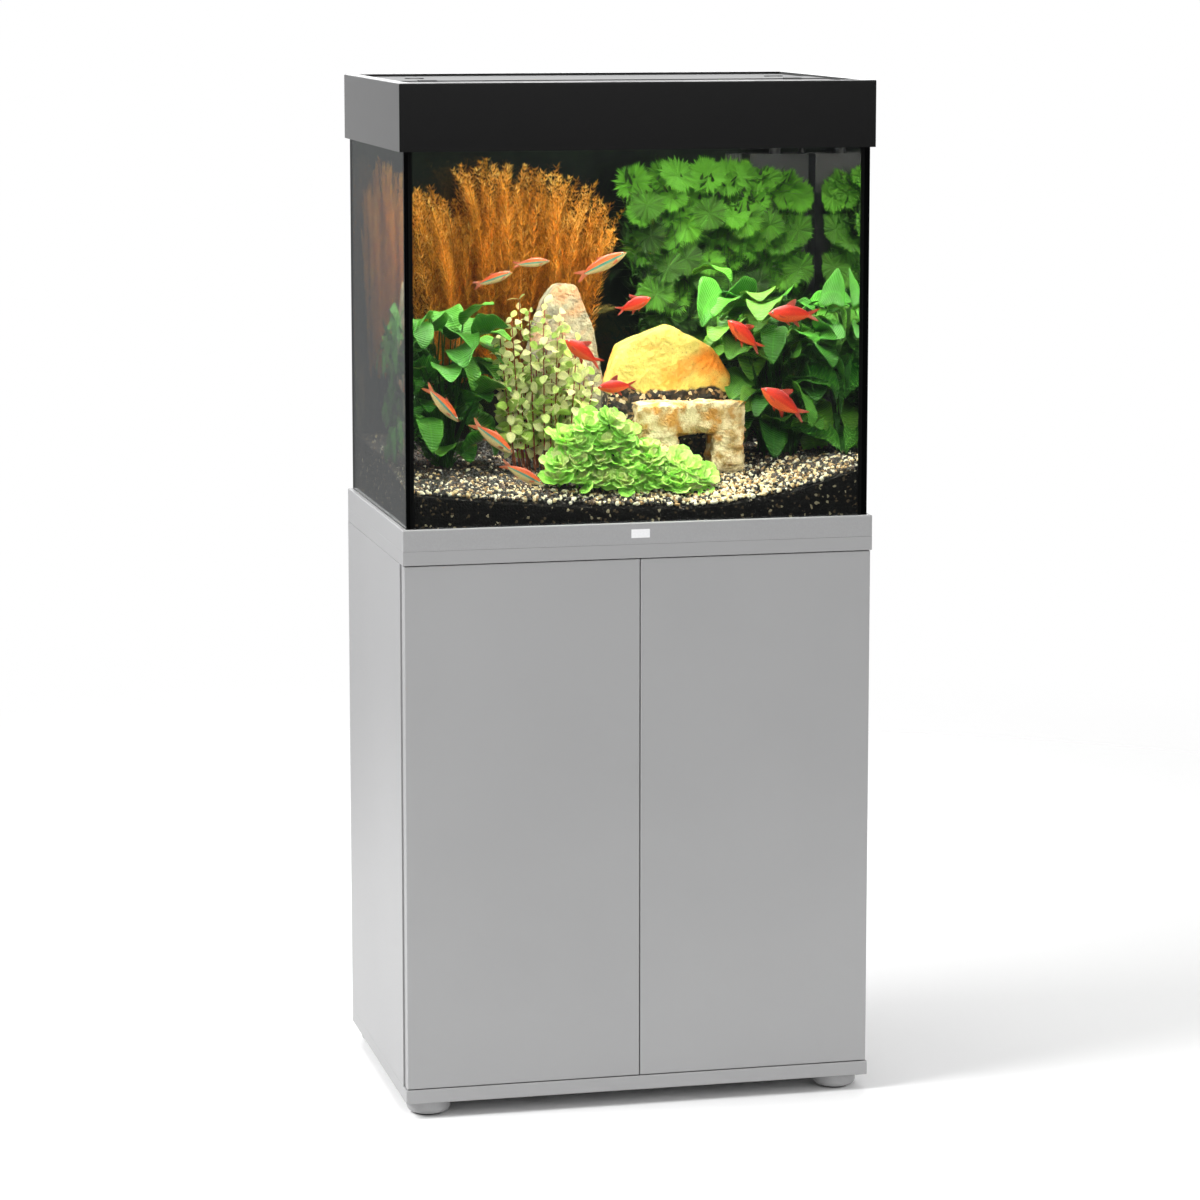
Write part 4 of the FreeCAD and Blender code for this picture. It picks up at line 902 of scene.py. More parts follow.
class AQUARIUM_OT_feather_plant(Builder, Operator):
    """Grow the amber feather plant at the back left"""
    bl_idname = "aquarium.feather_plant"
    bl_label = "Feather plant"

    def execute(self, context):
        finish = foliage("amber feathers", shade(chosen("amber"), 1.7), (1.0, 0.80, 0.22), 0.16, 0.55)
        half = sizes().feather_stems // 2
        # The back stems are a step darker and the front ones lighter: painted shade at the back of the plant,
        # painted light at its front.
        for name, seed, near, far, tone in (("back_feathers", 3, 0.45, 0.95, -0.10),
                                            ("front_feathers", 4, 0.05, 0.55, 0.05)):
            self.plumes(name, finish, np.random.default_rng(seed), half, near, far, tone)
        return {"FINISHED"}

    def plumes(self, name, finish, rng, count, near, far, lighter):
        """Stems that rise and lean out from the middle, thick with whorls of fine upswept needles."""
        low, high = corners("amber_feather_plant")
        size = high - low
        across = rng.uniform(0.02, 0.98, count)
        crest = np.interp(across, [0, 0.10, 0.22, 0.38, 0.50, 0.62, 0.75, 0.90, 1.0],
                          [0.88, 0.93, 0.90, 1.0, 0.99, 0.95, 0.98, 0.90, 0.80])
        tip = spots(low[0] + size[0] * across, low[1] + size[1] * rng.uniform(near, far, count),
                    low[2] + size[2] * (crest - 0.30 * rng.beta(1.0, 2.6, count)) - 0.003)
        foot = spots(low[0] + size[0] * (0.5 + (across - 0.5) * 0.72),
                     tip[:, 1] * 0.7 + 0.3 * (low[1] + size[1] / 2), low[2] + 0.01)
        whorls, rays = 46, 12
        share = np.linspace(0, 1, whorls)
        bow = share ** 1.7
        sway = np.sin(share * 6 + rng.uniform(0, TAU, (count, 1))) * 0.004
        sway = sway + rng.normal(0, 0.016, (count, 1)) * bow ** 2
        paths = foot[:, None] * (1 - bow)[None, :, None] + tip[:, None] * bow[None, :, None]
        paths[..., 2] = foot[:, None, 2] + (tip - foot)[:, None, 2] * (0.30 + 0.70 * share)
        paths[..., 0] += sway
        heap = Heap()
        stem_tubes(heap, paths, 0.0008, 4, tone=0.15)
        base = np.repeat(paths.reshape(-1, 3), rays, axis=0)
        needles = len(base)
        rank = np.repeat(np.broadcast_to(share, (count, whorls)).ravel(), rays)
        forward, side = level_frames(rng.uniform(0, TAU, needles))
        length = (0.019 - 0.009 * rank ** 4) * rng.uniform(0.6, 1.15, needles)
        own = np.repeat(rng.uniform(-0.08, 0.08, count), whorls * rays) + 0.22 * lattice_noise(base, 0.035, 9)
        painted_glint = np.where(rng.random(needles) < 0.03, 0.35, 0.0)
        # Needles grow lighter towards the top of each stem: the plant's own paler tips and painted light from
        # above. A few random needles are lifted further as painted glints.
        tone = 0.26 + lighter + 0.34 * rank ** 2 + own + painted_glint + rng.normal(0, 0.08, needles)
        leaf_blades(heap, base, forward, side, length, 0.0012, rng.uniform(-0.1, 0.8, needles), 0.5, rows=3,
                    columns=2, cup=0, tone=np.clip(tone, 0, 1))
        finish_piece(heap.mesh(name, [finish], pressed=True), "amber_feather_plant")


class AQUARIUM_OT_rosette_plant(Builder, Operator):
    """Grow the tall plant of round green rosettes at the back right"""
    bl_idname = "aquarium.rosette_plant"
    bl_label = "Rosette plant"

    def execute(self, context):
        rng = np.random.default_rng(8)
        low, high = corners("round_leaf_plant")
        size = high - low
        columns, rays = 8, 56
        rows = sizes().rosettes // columns
        column, row = (part.ravel() for part in np.meshgrid(np.arange(columns), np.arange(rows)))
        count = len(column)
        share_x = (column + 0.5 * (row % 2) + rng.uniform(0.1, 0.7, count)) / (columns + 0.1)
        share_z = 1 - (row + rng.uniform(0.0, 0.9, count)) / rows * 0.60
        radius = rng.uniform(0.020, 0.029, count)
        centres = spots(low[0] + 0.010 + (size[0] - 0.006) * (share_x + 0.28 * (1 - share_z) * (1 - share_x)),
                        low[1] + size[1] * rng.uniform(0.15, 0.75, count),
                        low[2] + (size[2] - 0.022) * share_z)
        axis = spots(rng.normal(-0.15, 0.22, count), rng.normal(-0.90, 0.10, count),
                     rng.normal(0.30, 0.20, count))
        turn = (np.arange(rays) / rays * TAU)[None, :] + rng.uniform(0, TAU, (count, 1))
        forward, side = tilted_frames(np.repeat(axis, rays, axis=0), turn.ravel())
        # Lower rosettes are darker and upper ones lighter, with a random spread: painted shade low down and
        # painted light high up.
        painted_light_by_height = np.clip(1.2 * share_z - 0.50 + rng.normal(0, 0.18, count), 0.0, 1)
        leaves = count * rays
        length = np.repeat(radius, rays) * rng.uniform(0.85, 1.12, leaves)
        roll = rng.normal(0, 0.25, leaves)
        tone = np.clip(np.repeat(painted_light_by_height, rays) + rng.normal(0, 0.07, leaves), 0, 1)
        heap = Heap()
        leaf_blades(heap, np.repeat(centres, rays, axis=0), forward, side, length, length * 0.10, 0.12, -0.15,
                    rows=5, columns=3, belly=1.5, blunt=0.5, cup=0.4, roll=roll, tone=tone)
        self.undergrowth(heap, low, high, rng)
        foot = spots(low[0] + size[0] * (0.3 + 0.4 * share_x), centres[:, 1], low[2] + 0.004)
        share = np.linspace(0, 1, 10)[None, :, None]
        paths = foot[:, None] * (1 - share ** 1.4) + centres[:, None] * share ** 1.4
        stem_tubes(heap, paths, 0.0008, 4, tone=0.10)
        green = shade(chosen("rosette"), 0.50)
        finish = foliage("rosette green", green, (0.075, 0.235, 0.018), 0.12, 0.5, 0.6)
        finish_piece(heap.mesh("round_rosettes", [finish], pressed=True), "round_leaf_plant")
        return {"FINISHED"}

    def undergrowth(self, heap, low, high, rng):
        """Fine leaves below and behind the rosettes, kept dark as painted shade."""
        count = 3200
        share = rng.uniform(0.03, 1, count)
        base = spots(rng.uniform(low[0] + 0.006 + 0.03 * (1 - share), high[0] - 0.012, count),
                     rng.uniform(low[1] + 0.018, high[1], count), low[2] + (high[2] - low[2] - 0.03) * share)
        forward, side = level_frames(rng.uniform(0, TAU, count))
        length, pitch = rng.uniform(0.014, 0.028, count), rng.uniform(-0.3, 1.2, count)
        # Low tones only: painted shade under and behind the rosettes.
        leaf_blades(heap, base, forward, side, length, 0.0045, pitch, 0.4, rows=4, columns=3, cup=0.3,
                    tone=rng.uniform(0.0, 0.22, count))


class AQUARIUM_OT_broad_plants(Builder, Operator):
    """Grow the broad-leaved plants at the left and right"""
    bl_idname = "aquarium.broad_plants"
    bl_label = "Broad-leaved plants"
    sheet = 0.0004

    def execute(self, context):
        leaf = shade(chosen("leaf"), 0.85)
        finish = foliage("broad leaf green", leaf, (0.085, 0.21, 0.020), 0.22, 0.38, 1.0)
        self.left(finish)
        self.right(finish)
        return {"FINISHED"}

    def left(self, finish):
        rng = np.random.default_rng(14)
        low, high = corners("left_broadleaf_plant")
        count = 62
        middle = (low + high) / 2
        height = rng.uniform(0, 1, count)
        targets = spots(middle[0] + rng.uniform(-0.048, 0.040, count),
                        middle[1] + rng.uniform(-0.045, 0.03, count),
                        low[2] + 0.028 + (high[2] - low[2] - 0.058) * height)
        length, width = rng.uniform(0.052, 0.078, count), rng.uniform(0.032, 0.046, count)
        # Higher leaves are lighter and lower ones darker, with a random spread: painted light above and
        # painted shade below.
        tones = np.clip(0.34 + 0.36 * height + rng.normal(0, 0.20, count), 0, 1)
        heap = Heap()
        self.grow(heap, rng, (middle[0], middle[1], low[2] + 0.002), targets, length, width, tones, 0.006)
        finish_piece(heap.mesh("left_broad_leaves", [finish], pressed=True), "left_broadleaf_plant",
                     self.sheet)

    def right(self, finish):
        rng = np.random.default_rng(27)
        low, high = corners("right_broadleaf_plant")
        count = 84
        height = rng.uniform(0, 1, count)
        targets = spots(rng.uniform(low[0] + 0.066, high[0] - 0.008, count),
                        rng.uniform(low[1] + 0.005, high[1] - 0.02, count),
                        low[2] + 0.045 + (high[2] - low[2] - 0.075) * height)
        leaning = np.array([(low[0] + 0.040, low[1] + 0.05, high[2] - 0.030),
                            (low[0] + 0.055, low[1] + 0.03, high[2] - 0.075),
                            (low[0] + 0.052, low[1] + 0.07, high[2] - 0.012)])
        targets = np.concatenate([targets, leaning])
        total = len(targets)
        # Higher leaves are lighter and lower ones darker, with a random spread: painted light above and
        # painted shade below; the three leaning leaves count as high ones.
        tones = np.clip(0.40 + 0.26 * np.append(height, [0.9, 1.0, 0.8]) + rng.normal(0, 0.20, total), 0, 1)
        crown = (low[0] + 0.115, (low[1] + high[1]) / 2, low[2] + 0.002)
        length, width = rng.uniform(0.055, 0.088, total), rng.uniform(0.034, 0.052, total)
        heap = Heap()
        self.grow(heap, rng, crown, targets, length, width, tones, 0.012)
        finish_piece(heap.mesh("right_broad_leaves", [finish], pressed=True), "right_broadleaf_plant",
                     self.sheet)

    def grow(self, heap, rng, crown, targets, length, width, tones, spread):
        """Leaves on stalks: each stalk bows from the crown to its target, where the blade arches over."""
        count = len(targets)
        foot = np.array(crown)[None] + rng.normal(0, spread, (count, 3)) * np.array([1, 1, 0])
        share = np.linspace(0, 1, 12)[None, :, None]
        middle = foot * 0.5 + targets * 0.5
        middle[:, :2] = foot[:, :2] * 0.75 + targets[:, :2] * 0.25
        paths = ((1 - share) ** 2 * foot[:, None] + 2 * share * (1 - share) * middle[:, None]
                 + share ** 2 * targets[:, None])
        stem_tubes(heap, paths, 0.0016, 6, tone=0.30)
        outward = targets - foot
        heading = np.arctan2(outward[:, 1], outward[:, 0])
        to_front = -np.pi / 2 + 0.9 * np.sign(outward[:, 0]) * rng.uniform(0.2, 1.3, count)
        heading = np.where(rng.random(count) < 0.75, to_front, heading) + rng.normal(0, 0.25, count)
        forward, side = level_frames(heading)
        pitch, bend = rng.uniform(0.0, 1.0, count), rng.uniform(-2.0, -0.9, count)
        leaf_blades(heap, targets, forward, side, length, width, pitch, bend, rows=17, columns=9, belly=0.80,
                    blunt=0.70, cup=0.22, wave=0.09, ripples=2.5, roll=rng.normal(0, 0.4, count),
                    phase=rng.uniform(0, TAU, count), tone=tones)


class AQUARIUM_OT_stem_plant(Builder, Operator):
    """Grow the small-leaved stem plant in front of the tall rock"""
    bl_idname = "aquarium.stem_plant"
    bl_label = "Stem plant"

    def execute(self, context):
        rng = np.random.default_rng(31)
        low, high = corners("small_leaf_stem_plant")
        width, height = high[0] - low[0], high[2] - low[2]
        count, pairs = sizes().sprigs, 18
        share_x = (np.arange(count) + rng.uniform(0.1, 0.9, count)) / count
        rng.shuffle(share_x)
        foot = spots(low[0] + width * (0.22 + 0.56 * share_x),
                     rng.uniform(low[1] + 0.012, high[1] - 0.015, count), low[2] + 0.002)
        crest = np.interp(share_x, [0, 0.25, 0.5, 0.75, 1], [0.80, 0.97, 0.97, 0.84, 0.55])
        top = low[2] + height * (crest - rng.uniform(0, 0.42, count))
        share = np.linspace(0, 1, pairs)
        reach = low[0] + width * (0.04 + 0.92 * share_x) - foot[:, 0]
        paths = spots(foot[:, :1] + reach[:, None] * share ** 0.8,
                      foot[:, 1:2] + rng.normal(0, 0.006, (count, 1)) * share,
                      foot[:, 2:] + (top - foot[:, 2])[:, None] * share)
        heap = Heap()
        stem_tubes(heap, paths, 0.0010, 5, tone=0.5, slot=1, taper=0.7)
        keep = share > 0.24
        kept = keep.sum()
        base = np.repeat(paths[:, keep].reshape(-1, 3), 2, axis=0)
        leaves = len(base)
        rank = np.repeat(np.broadcast_to(share[keep], (count, kept)).ravel(), 2)
        pair = np.tile(np.repeat(np.arange(kept) * np.pi / 2, 2), count)
        facing = np.tile(np.array([0, np.pi]), leaves // 2)
        own = np.repeat(rng.uniform(0, TAU, count), kept * 2)
        heading = pair + facing + own + rng.normal(0, 0.25, leaves)
        axis = np.array([0.0, -0.75, 0.65]) + rng.normal(0, 0.33, (leaves, 3))
        forward, side = tilted_frames(axis, heading)
        grown = rng.uniform(0.75, 1.2, leaves) * (1 - 0.30 * rank ** 2)
        pitch, roll = rng.uniform(-0.2, 0.6, leaves), rng.normal(0, 0.7, leaves)
        tone = np.clip(0.48 + 0.48 * rank + rng.normal(0, 0.28, leaves), 0, 1)
        leaf_blades(heap, base, forward, side, 0.0190 * grown, 0.0122 * grown, pitch, -0.5, rows=7, columns=5,
                    stalk=0.06, cup=0.3, roll=roll, tone=tone)
        sprig = foliage("pale sprigs", chosen("sprig"), (1.0, 1.0, 0.48), 0.34, 0.35, 0.5)
        stalk = foliage("red stalks", (0.36, 0.10, 0.04), (0.5, 0.2, 0.08), 0.5, 0.5)
        finish_piece(heap.mesh("leafy_sprigs", [sprig, stalk], pressed=True), "small_leaf_stem_plant",
                     0.0002)
        return {"FINISHED"}


class AQUARIUM_OT_lettuce_plant(Builder, Operator):
    """Grow the low bright rosettes in front"""
    bl_idname = "aquarium.lettuce_plant"
    bl_label = "Low rosettes"

    def execute(self, context):
        rng = np.random.default_rng(41)
        low, high = corners("lettuce_plant")
        tiers = ((0.016, 0.008, 8), (0.022, 0.026, 8), (0.030, 0.046, 7), (0.037, 0.064, 7))
        along = np.concatenate([np.linspace(0.06, 0.94, count) for _, _, count in tiers])
        depth = np.concatenate([np.full(count, reach) for reach, _, count in tiers])
        lifted = np.concatenate([np.full(count, height) for _, height, count in tiers])
        total = len(along)
        x = low[0] + (high[0] - low[0]) * along + rng.normal(0, 0.006, total)
        y = low[1] + depth + rng.normal(0, 0.002, total)
        mound = np.interp(along, [0, 0.3, 0.55, 0.75, 1], [0.9, 1.15, 0.9, 0.35, 0.2])
        lifted = lifted * mound * rng.uniform(0.8, 1.15, total)
        feet = spots(x, y, ground_height(x, y) + 0.001)
        crowns = feet + lifted[:, None] * UP
        leaves, golden_turn = 15, 2.399
        base = np.repeat(crowns, leaves, axis=0)
        rank = np.tile(np.linspace(0, 1, leaves), total)
        heading = np.tile(np.arange(leaves) * golden_turn, total)
        heading += np.repeat(rng.uniform(0, TAU, total), leaves)
        axis = np.repeat(np.array([0.0, -0.55, 0.80]) + rng.normal(0, 0.16, (total, 3)), leaves, axis=0)
        forward, side = tilted_frames(axis, heading)
        length = np.repeat(rng.uniform(0.023, 0.031, total), leaves) * (1.1 - 0.40 * rank)
        pitch = 0.10 + 1.15 * rank + rng.normal(0, 0.12, len(base))
        phase, roll = rng.uniform(0, TAU, len(base)), rng.normal(0, 0.2, len(base))
        tone = np.clip(0.50 + 0.45 * rank + rng.normal(0, 0.18, len(base)), 0, 1)
        heap = Heap()
        share = np.linspace(0, 1, 4)[None, :, None]
        stem_tubes(heap, feet[:, None] * (1 - share) + crowns[:, None] * share, 0.002, 6, tone=0.1)
        leaf_blades(heap, base, forward, side, length, length * 0.70, pitch, 0.30 - 0.50 * rank, rows=10,
                    columns=7, belly=1.7, blunt=0.42, cup=0.30, wave=0.16, ripples=2.2, phase=phase,
                    roll=roll, tone=tone)
        green = shade(chosen("lettuce"), 1.6)
        finish = foliage("lettuce green", green, (0.90, 1.0, 0.42), 0.20, 0.32, 0.7)
        piece = heap.mesh("low_rosettes", [finish], pressed=True)
        finish_piece(piece, "lettuce_plant", 0.0003)
        return {"FINISHED"}


# ---------------------------------------------------------------- fish

def fin_sheet(heap, root, run, reach, sweep):
    """A fin as a flattened closed loft, from its root line outwards.

    root is the middle of the fin's base, run its half length along the body, reach the way to the tip, and
    sweep how far the tip slides back. The chord narrows as the square root of the distance left to the tip.
    """
    thickness = 0.006
    share = np.linspace(0, 1, 10)
    chord = np.sqrt(np.clip(1.02 - share, 0, 1))
    centres = np.array(root) + share[:, None] * np.array(reach) + (share ** 1.3)[:, None] * np.array(sweep)
    across = chord[:, None] * np.array(run)
    flat = spots(0.0, thickness * np.clip(1.05 - share, 0.05, 1), 0.0)
    loft(heap, centres[None], across[None], flat[None], 14, slot=1, square=0.9)


def eye_at(heap, centre, way):
    """An eye: a flattened ball with a dark pupil on its outer side."""
    radius = 0.020
    share = np.linspace(-1, 1, 9)
    for slot, size, shift in ((2, 1.0, 0.0), (3, 0.58, 0.55)):
        ring = np.sqrt(np.clip(1 - share ** 2, 0.0004, 1)) * radius * size
        centres = np.array(centre) + spots(0.0, way * radius * (0.6 * size * share + shift), 0.0)
        across, upward = spots(ring, 0.0, 0.0), spots(0.0, 0.0, ring * way)
        loft(heap, centres[None], across[None], upward[None], 12, slot=slot)


def fish_heap(depth_share, tail_length, dorsal, lobe_share):
    """A fish of length one along X, head forwards, with its eyes and fins.

    The body's half depth is a sine of the distance from the tail to a power, fullest behind the head; its
    width is 0.45 of its depth. The tail fin is two lobes that spread backwards.
    """
    heap = Heap("skin")
    share = np.linspace(0, 1, 30)
    x = tail_length + (1 - tail_length) * share
    swell = np.sin(np.pi * share ** 1.12) ** 0.8
    stalk = 0.20 * (1 - share) ** 1.5
    depth = depth_share / 2 * np.clip(swell + stalk, 0.03, None)
    width = depth * 0.45 * np.clip(0.5 + share, 0.5, 1.15)
    centres = spots(x, 0.0, 0.02 * np.sin(np.pi * share) * depth_share)
    loft(heap, centres[None], spots(0.0, width, 0.0)[None], spots(0.0, 0.0, depth)[None], 20, height_map=True)
    tail, back = x[0] + 0.03, depth_share / 2
    for way in (-1, 1):
        fin_sheet(heap, (tail, 0, way * 0.010), (0.03, 0, way * 0.030),
                  (0.03 - tail_length, 0, way * depth_share * lobe_share), (-0.02, 0, 0))
    fin_sheet(heap, (0.62, 0, back * 0.86), (0.11, 0, -0.012), (-0.04, 0, dorsal), (-0.07, 0, 0))
    fin_sheet(heap, (0.50, 0, -back * 0.82), (0.07, 0, 0.014), (-0.05, 0, -dorsal * 0.7), (-0.04, 0, 0))
    fin_sheet(heap, (0.66, 0, -back * 0.88), (0.035, 0, 0.0), (-0.05, 0, -dorsal * 0.5), (-0.03, 0, 0))
    for way in (-1, 1):
        fin_sheet(heap, (0.80, way * depth_share * 0.20, -0.03), (0.004, 0, 0.025),
                  (-0.10, way * 0.05, -0.03), (-0.01, 0, 0))
        eye_at(heap, (0.925, way * depth_share * 0.115, 0.022), way)
    return heap


def loose_parts(node_name):
    """The points of each separate body of a node: every point takes the lowest number it is joined to."""
    data = NODES[node_name].data
    points = node_arrays(node_name)[0]
    welded, place = np.unique(np.round(points, 5), axis=0, return_inverse=True)
    ends = np.empty(len(data.edges) * 2, dtype=np.int64)
    data.edges.foreach_get("vertices", ends)
    first, second = place.ravel()[ends.reshape(-1, 2)].T
    number = np.arange(len(welded))
    changed = True
    while changed:
        lowest = np.minimum(number[first], number[second])
        joined = number.copy()
        np.minimum.at(joined, first, lowest)
        np.minimum.at(joined, second, lowest)
        joined = joined[joined]
        changed = bool((joined != number).any())
        number = joined
    return [welded[number == body] for body in np.unique(number)]


class AQUARIUM_OT_fish(Builder, Operator):
    """Set the two shoals of fish"""
    bl_idname = "aquarium.fish"
    bl_label = "Fish"

    def execute(self, context):
        iris = Finish("fish iris", 0.2, Base_Color=(0.75, 0.68, 0.50, 1), Metallic=0.4).material
        pupil = Finish("fish pupil", 0.05, Base_Color=(0.003, 0.003, 0.003, 1), Coat_Weight=1.0).material
        striped_skin = scales("striped skin", (0.50, 0.07, 0.012), (0.74, 0.14, 0.015), (0.62, 0.46, 0.20),
                              stripe=(0.08, 0.30, 0.22))
        flank = (0.62, 0.026, 0.006)
        red_skin = scales("red skin", (0.42, 0.012, 0.004), flank, (0.70, 0.09, 0.02), stripe=flank)
        striped = [striped_skin, membrane("orange fin", (0.70, 0.16, 0.05)), iris, pupil]
        red = [red_skin, membrane("red fin", (0.55, 0.035, 0.008)), iris, pupil]
        self.shoal("striped_fish", "striped_scales", striped, fish_heap(0.215, 0.19, 0.05, 0.36), 0.08)
        self.shoal("red_fish", "red_scales", red, fish_heap(0.30, 0.22, 0.15, 0.34), 0.10)
        return {"FINISHED"}

    def shoal(self, node_name, slot_name, materials, shape, bend):
        """Copies one fish to each ellipsoid of the node, along its longest axis, its body gently bent."""
        template = np.concatenate(shape.points)
        whole = Heap("skin")
        for number, (centre, forward, length) in enumerate(self.swimmers(node_name)):
            local = template.copy()
            local[:, 0] -= 0.5
            local[:, 1] += bend * (0.5 - (number % 2)) * (local[:, 0] ** 2)
            top = unit(np.cross(forward, np.cross(UP, forward)))
            side = np.cross(top, forward)
            whole.add_copy(shape, centre + length * (local[:, :1] * forward + local[:, 1:2] * side
                                                     + local[:, 2:] * top))
        finish_piece(whole.mesh(node_name + "_shoal", materials), node_name)

    def swimmers(self, node_name):
        """Middle, heading and length of each loose body of a node: its spread gives its longest axis."""
        for cloud in loose_parts(node_name):
            centre = (cloud.min(axis=0) + cloud.max(axis=0)) / 2
            forward = np.linalg.eigh(np.cov((cloud - centre).T))[1][:, -1]
            reach = (cloud - centre) @ forward
            way = -1 if self.heads_left(node_name, centre) else 1
            yield centre, forward * way * np.sign(forward[0]), reach.max() - reach.min()

    def heads_left(self, node_name, centre):
        """Most red fish swim to the left; the highest one and all the striped ones swim to the right."""
        highest_row = 1.02
        return node_name == "red_fish" and centre[2] < highest_row


# ---------------------------------------------------------------- water, light and stage

class AQUARIUM_OT_water(Builder, Operator):
    """Fill the tank with water"""
    bl_idname = "aquarium.water"
    bl_label = "Water"

    def execute(self, context):
        """A closed body between the panes, whose top is rippled by a product of two sines."""
        gap = sizes().glass_gap
        left, right = corners("left_glass")[1][0] + gap, corners("right_glass")[0][0] - gap
        front, back = corners("front_glass")[1][1] + gap, corners("back_glass")[0][1] - gap
        rows, columns = 40, 60
        across, deep = np.meshgrid(np.linspace(left, right, columns), np.linspace(front, back, rows))
        ripple = 0.0006 * np.sin(across * 60 + 2 * np.sin(deep * 35)) * np.sin(deep * 48)
        top = spots(across, deep, sizes().water_line + ripple).reshape(-1, 3)
        rim = grid_rim(rows, columns)
        foot = spots(top[rim, 0], top[rim, 1], corners("bottom_glass")[1][2] + gap)
        lower = np.arange(len(rim)) + len(top)
        heap = Heap()
        heap.add(np.concatenate([top, foot]),
                 [grid_faces(1, rows, columns), side_walls(rim, lower), lower[None, ::-1]])
        piece = heap.mesh("tank_water", [clear("clear water", (0.985, 1.0, 0.992), 1.333)], smooth=False)
        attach(piece, ROOT)
        return {"FINISHED"}


def soft_light(name, place, target, size, power, depth=None, colour=WHITE):
    """An area light aimed at a point."""
    data = bpy.data.lights.new(name, "AREA")
    data.shape = "RECTANGLE"
    data.size = size
    data.size_y = depth or size
    data.energy = power
    data.color = colour
    lamp = bpy.data.objects.new(name, data)
    bpy.context.scene.collection.objects.link(lamp)
    lamp.location = place
    right, deep, rise = np.array(target, dtype=float) - np.array(place, dtype=float)
    fall = math.atan2(math.hypot(right, deep), -rise)
    lamp.rotation_euler = (fall, 0, math.pi + math.atan2(right, -deep))
    lamp.visible_camera = False
    return lamp


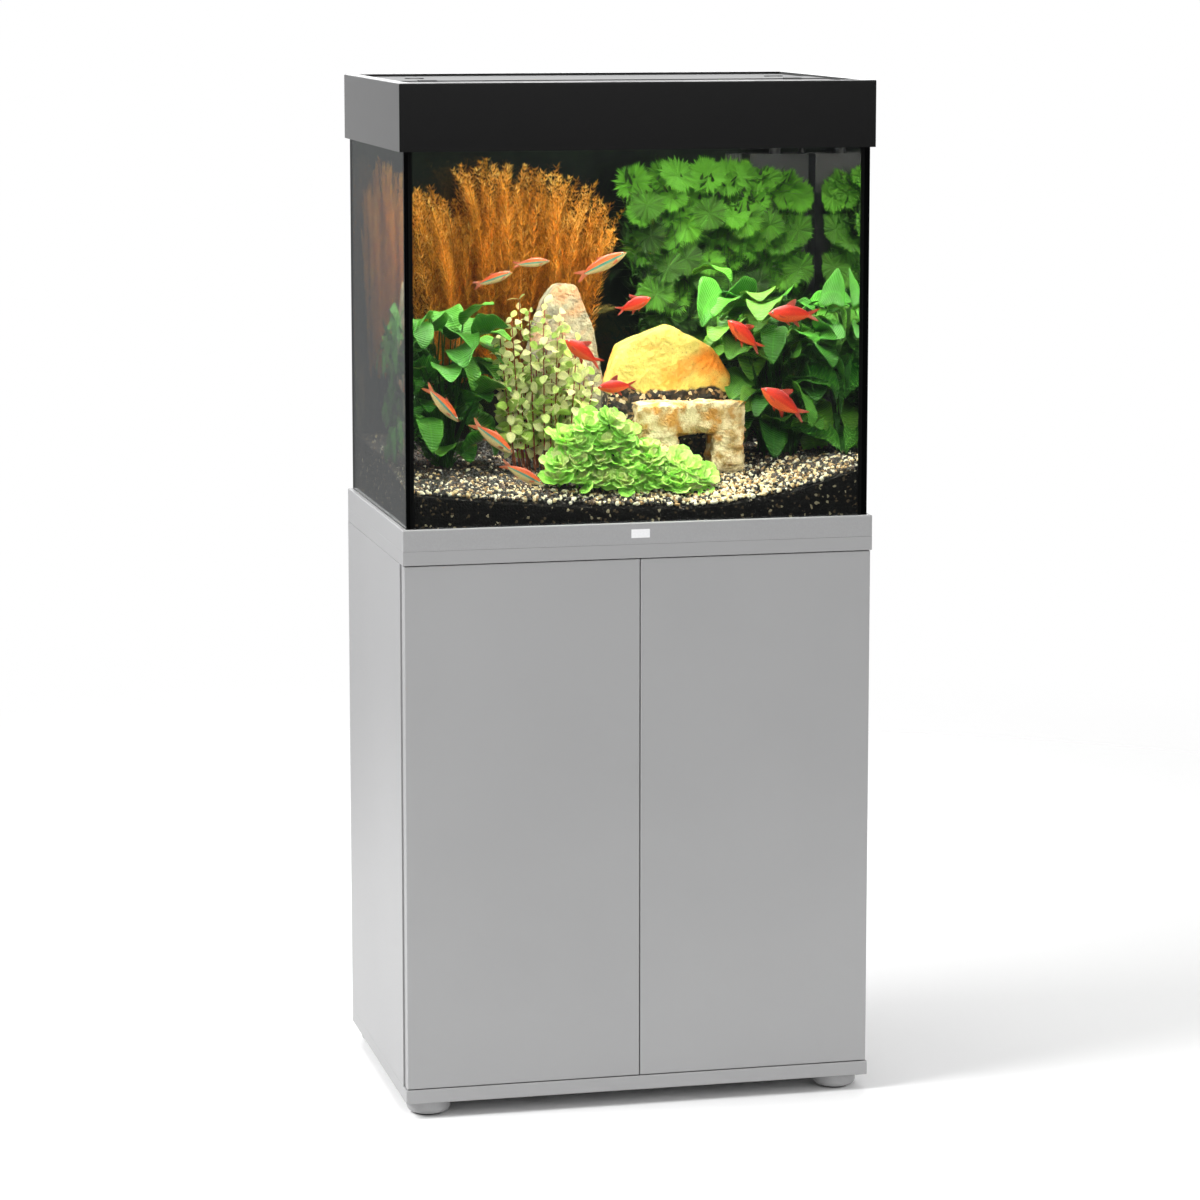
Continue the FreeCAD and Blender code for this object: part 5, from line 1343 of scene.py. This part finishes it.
class AQUARIUM_OT_stage(Builder, Operator):
    """Set the floor, lights, backdrop light and camera"""
    bl_idname = "aquarium.stage"
    bl_label = "Stage"

    def execute(self, context):
        context.scene.view_settings.view_transform = "Standard"
        self.floor()
        self.world()
        self.lights()
        self.camera()
        return {"FINISHED"}

    def floor(self):
        """A pale round floor that fades out towards its rim."""
        rings, sides, radius, sunk = 24, 72, 3.2, 0.0004
        ring = np.linspace(0, 1, rings)[:, None] ** 1.2 * radius
        angle = np.linspace(0, TAU, sides, endpoint=False)[None, :]
        heap = Heap()
        heap.add(spots(ring * np.cos(angle), ring * np.sin(angle), -sunk).reshape(-1, 3),
                 [grid_faces(1, rings, sides, wrapped=True)])
        pale = Finish("pale floor", 0.6, Base_Color=(0.86, 0.86, 0.86, 1))
        away = pale.add("VectorMath", {0: pale.place()}, operation="LENGTH").outputs["Value"]
        limits = {"Value": away, "From Min": 1.1, "From Max": 3.0, "To Min": 1.0, "To Max": 0.0}
        pale.feed("Alpha", pale.add("MapRange", limits, interpolation_type="SMOOTHSTEP").outputs["Result"])
        heap.mesh("floor", [pale.material])

    def world(self):
        """White to the eye, dim in reflections, and soft grey as light."""
        world = bpy.data.worlds.new("studio")
        bpy.context.scene.world = world
        world.use_nodes = True
        tree = world.node_tree
        rays = add(tree, "LightPath").outputs
        soft = tree.nodes["Background"]
        soft.inputs["Color"].default_value = (*WHITE, 1)
        soft.inputs["Strength"].default_value = 0.42
        dim = add(tree, "Background", {"Color": (0.9, 0.95, 1, 1), "Strength": 0.05})
        seen = add(tree, "Background", {"Color": (*WHITE, 1), "Strength": 1.0})
        reflected = add(tree, "MixShader", {0: rays["Is Glossy Ray"], 1: soft.outputs[0], 2: dim.outputs[0]})
        mixed = {0: rays["Is Camera Ray"], 1: reflected.outputs[0], 2: seen.outputs[0]}
        output = tree.nodes["World Output"].inputs["Surface"]
        tree.links.new(add(tree, "MixShader", mixed).outputs[0], output)

    def lights(self):
        """Large soft lights round the cabinet, and two under the hood."""
        middle = (0, 0, 0.65)
        soft_light("left softbox", (-3.0, -0.6, 3.0), (0, 0, 1.0), 1.8, 148, 2.0)
        soft_light("upper left fill", (-1.8, -0.3, 1.9), (-0.3, 0, 1.0), 0.9, 16)
        soft_light("far left softbox", (-1.7, 4.2, 1.1), (-0.3, 0, 1.1), 2.6, 2.2, 2.2)
        soft_light("front fill", (0.8, -4.2, 2.6), middle, 2.4, 49)
        soft_light("right fill", (3.4, -0.8, 1.6), middle, 1.6, 30)
        soft_light("back fill", (0.5, 3.6, 2.4), middle, 2.4, 45)
        soft_light("top light", (0.0, 0.3, 3.6), middle, 2.2, 45)
        level = corners("light_tubes")[0][2] - 0.004
        tank = soft_light("tank light", (0.03, -0.04, level), (0.03, -0.04, 0), 0.42, sizes().light_power,
                          0.12, (1.0, 0.98, 0.90))
        tank.data.spread = math.radians(130)
        soft_light("inner fill", (0.0, -0.175, level), (0.0, 0.10, 0.80), 0.50, 1.9, 0.03, (1.0, 0.97, 0.88))

    def camera(self):
        """A long lens a little above the hood, from the front left, with its frame shifted down."""
        pitch, yaw = math.radians(8.24), math.radians(13.14)
        data = bpy.data.cameras.new("camera")
        data.sensor_width = 36
        data.lens = 117.6
        data.shift_y = -0.06
        data.clip_start, data.clip_end = 0.1, 100
        camera = bpy.data.objects.new("camera", data)
        bpy.context.scene.collection.objects.link(camera)
        camera.location = (-1.1622, -4.9580, 1.4590)
        camera.rotation_euler = (math.pi / 2 - pitch, 0, -yaw)
        bpy.context.scene.camera = camera


class AQUARIUM_PT_sidebar(Panel):
    """The settings, and one button for each step"""
    bl_label = "Planted Aquarium"
    bl_space_type = "VIEW_3D"
    bl_region_type = "UI"
    bl_category = "Aquarium"

    def draw(self, context):
        for group in (context.scene.aquarium_sizes, context.scene.aquarium_colours):
            box = self.layout.box()
            for name in group.__annotations__:
                box.prop(group, name)
        for step in STEPS:
            self.layout.operator(step.bl_idname)


STEPS = (AQUARIUM_OT_cabinet, AQUARIUM_OT_fittings, AQUARIUM_OT_tank, AQUARIUM_OT_hood, AQUARIUM_OT_filter,
         AQUARIUM_OT_gravel, AQUARIUM_OT_stones, AQUARIUM_OT_feather_plant, AQUARIUM_OT_rosette_plant,
         AQUARIUM_OT_broad_plants, AQUARIUM_OT_stem_plant, AQUARIUM_OT_lettuce_plant, AQUARIUM_OT_fish,
         AQUARIUM_OT_water, AQUARIUM_OT_stage)
CLASSES = (AquariumColours, AquariumSizes, *STEPS, AQUARIUM_PT_sidebar)


def register():
    for item in CLASSES:
        bpy.utils.register_class(item)
    bpy.types.Scene.aquarium_colours = PointerProperty(type=AquariumColours)
    bpy.types.Scene.aquarium_sizes = PointerProperty(type=AquariumSizes)


def unregister():
    del bpy.types.Scene.aquarium_sizes
    del bpy.types.Scene.aquarium_colours
    for item in reversed(CLASSES):
        bpy.utils.unregister_class(item)


def main():
    """Registers the add-on and runs every step in order."""
    register()
    for step in STEPS:
        group, name = step.bl_idname.split(".")
        getattr(getattr(bpy.ops, group), name)()
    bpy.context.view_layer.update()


if __name__ == "__main__":
    main()
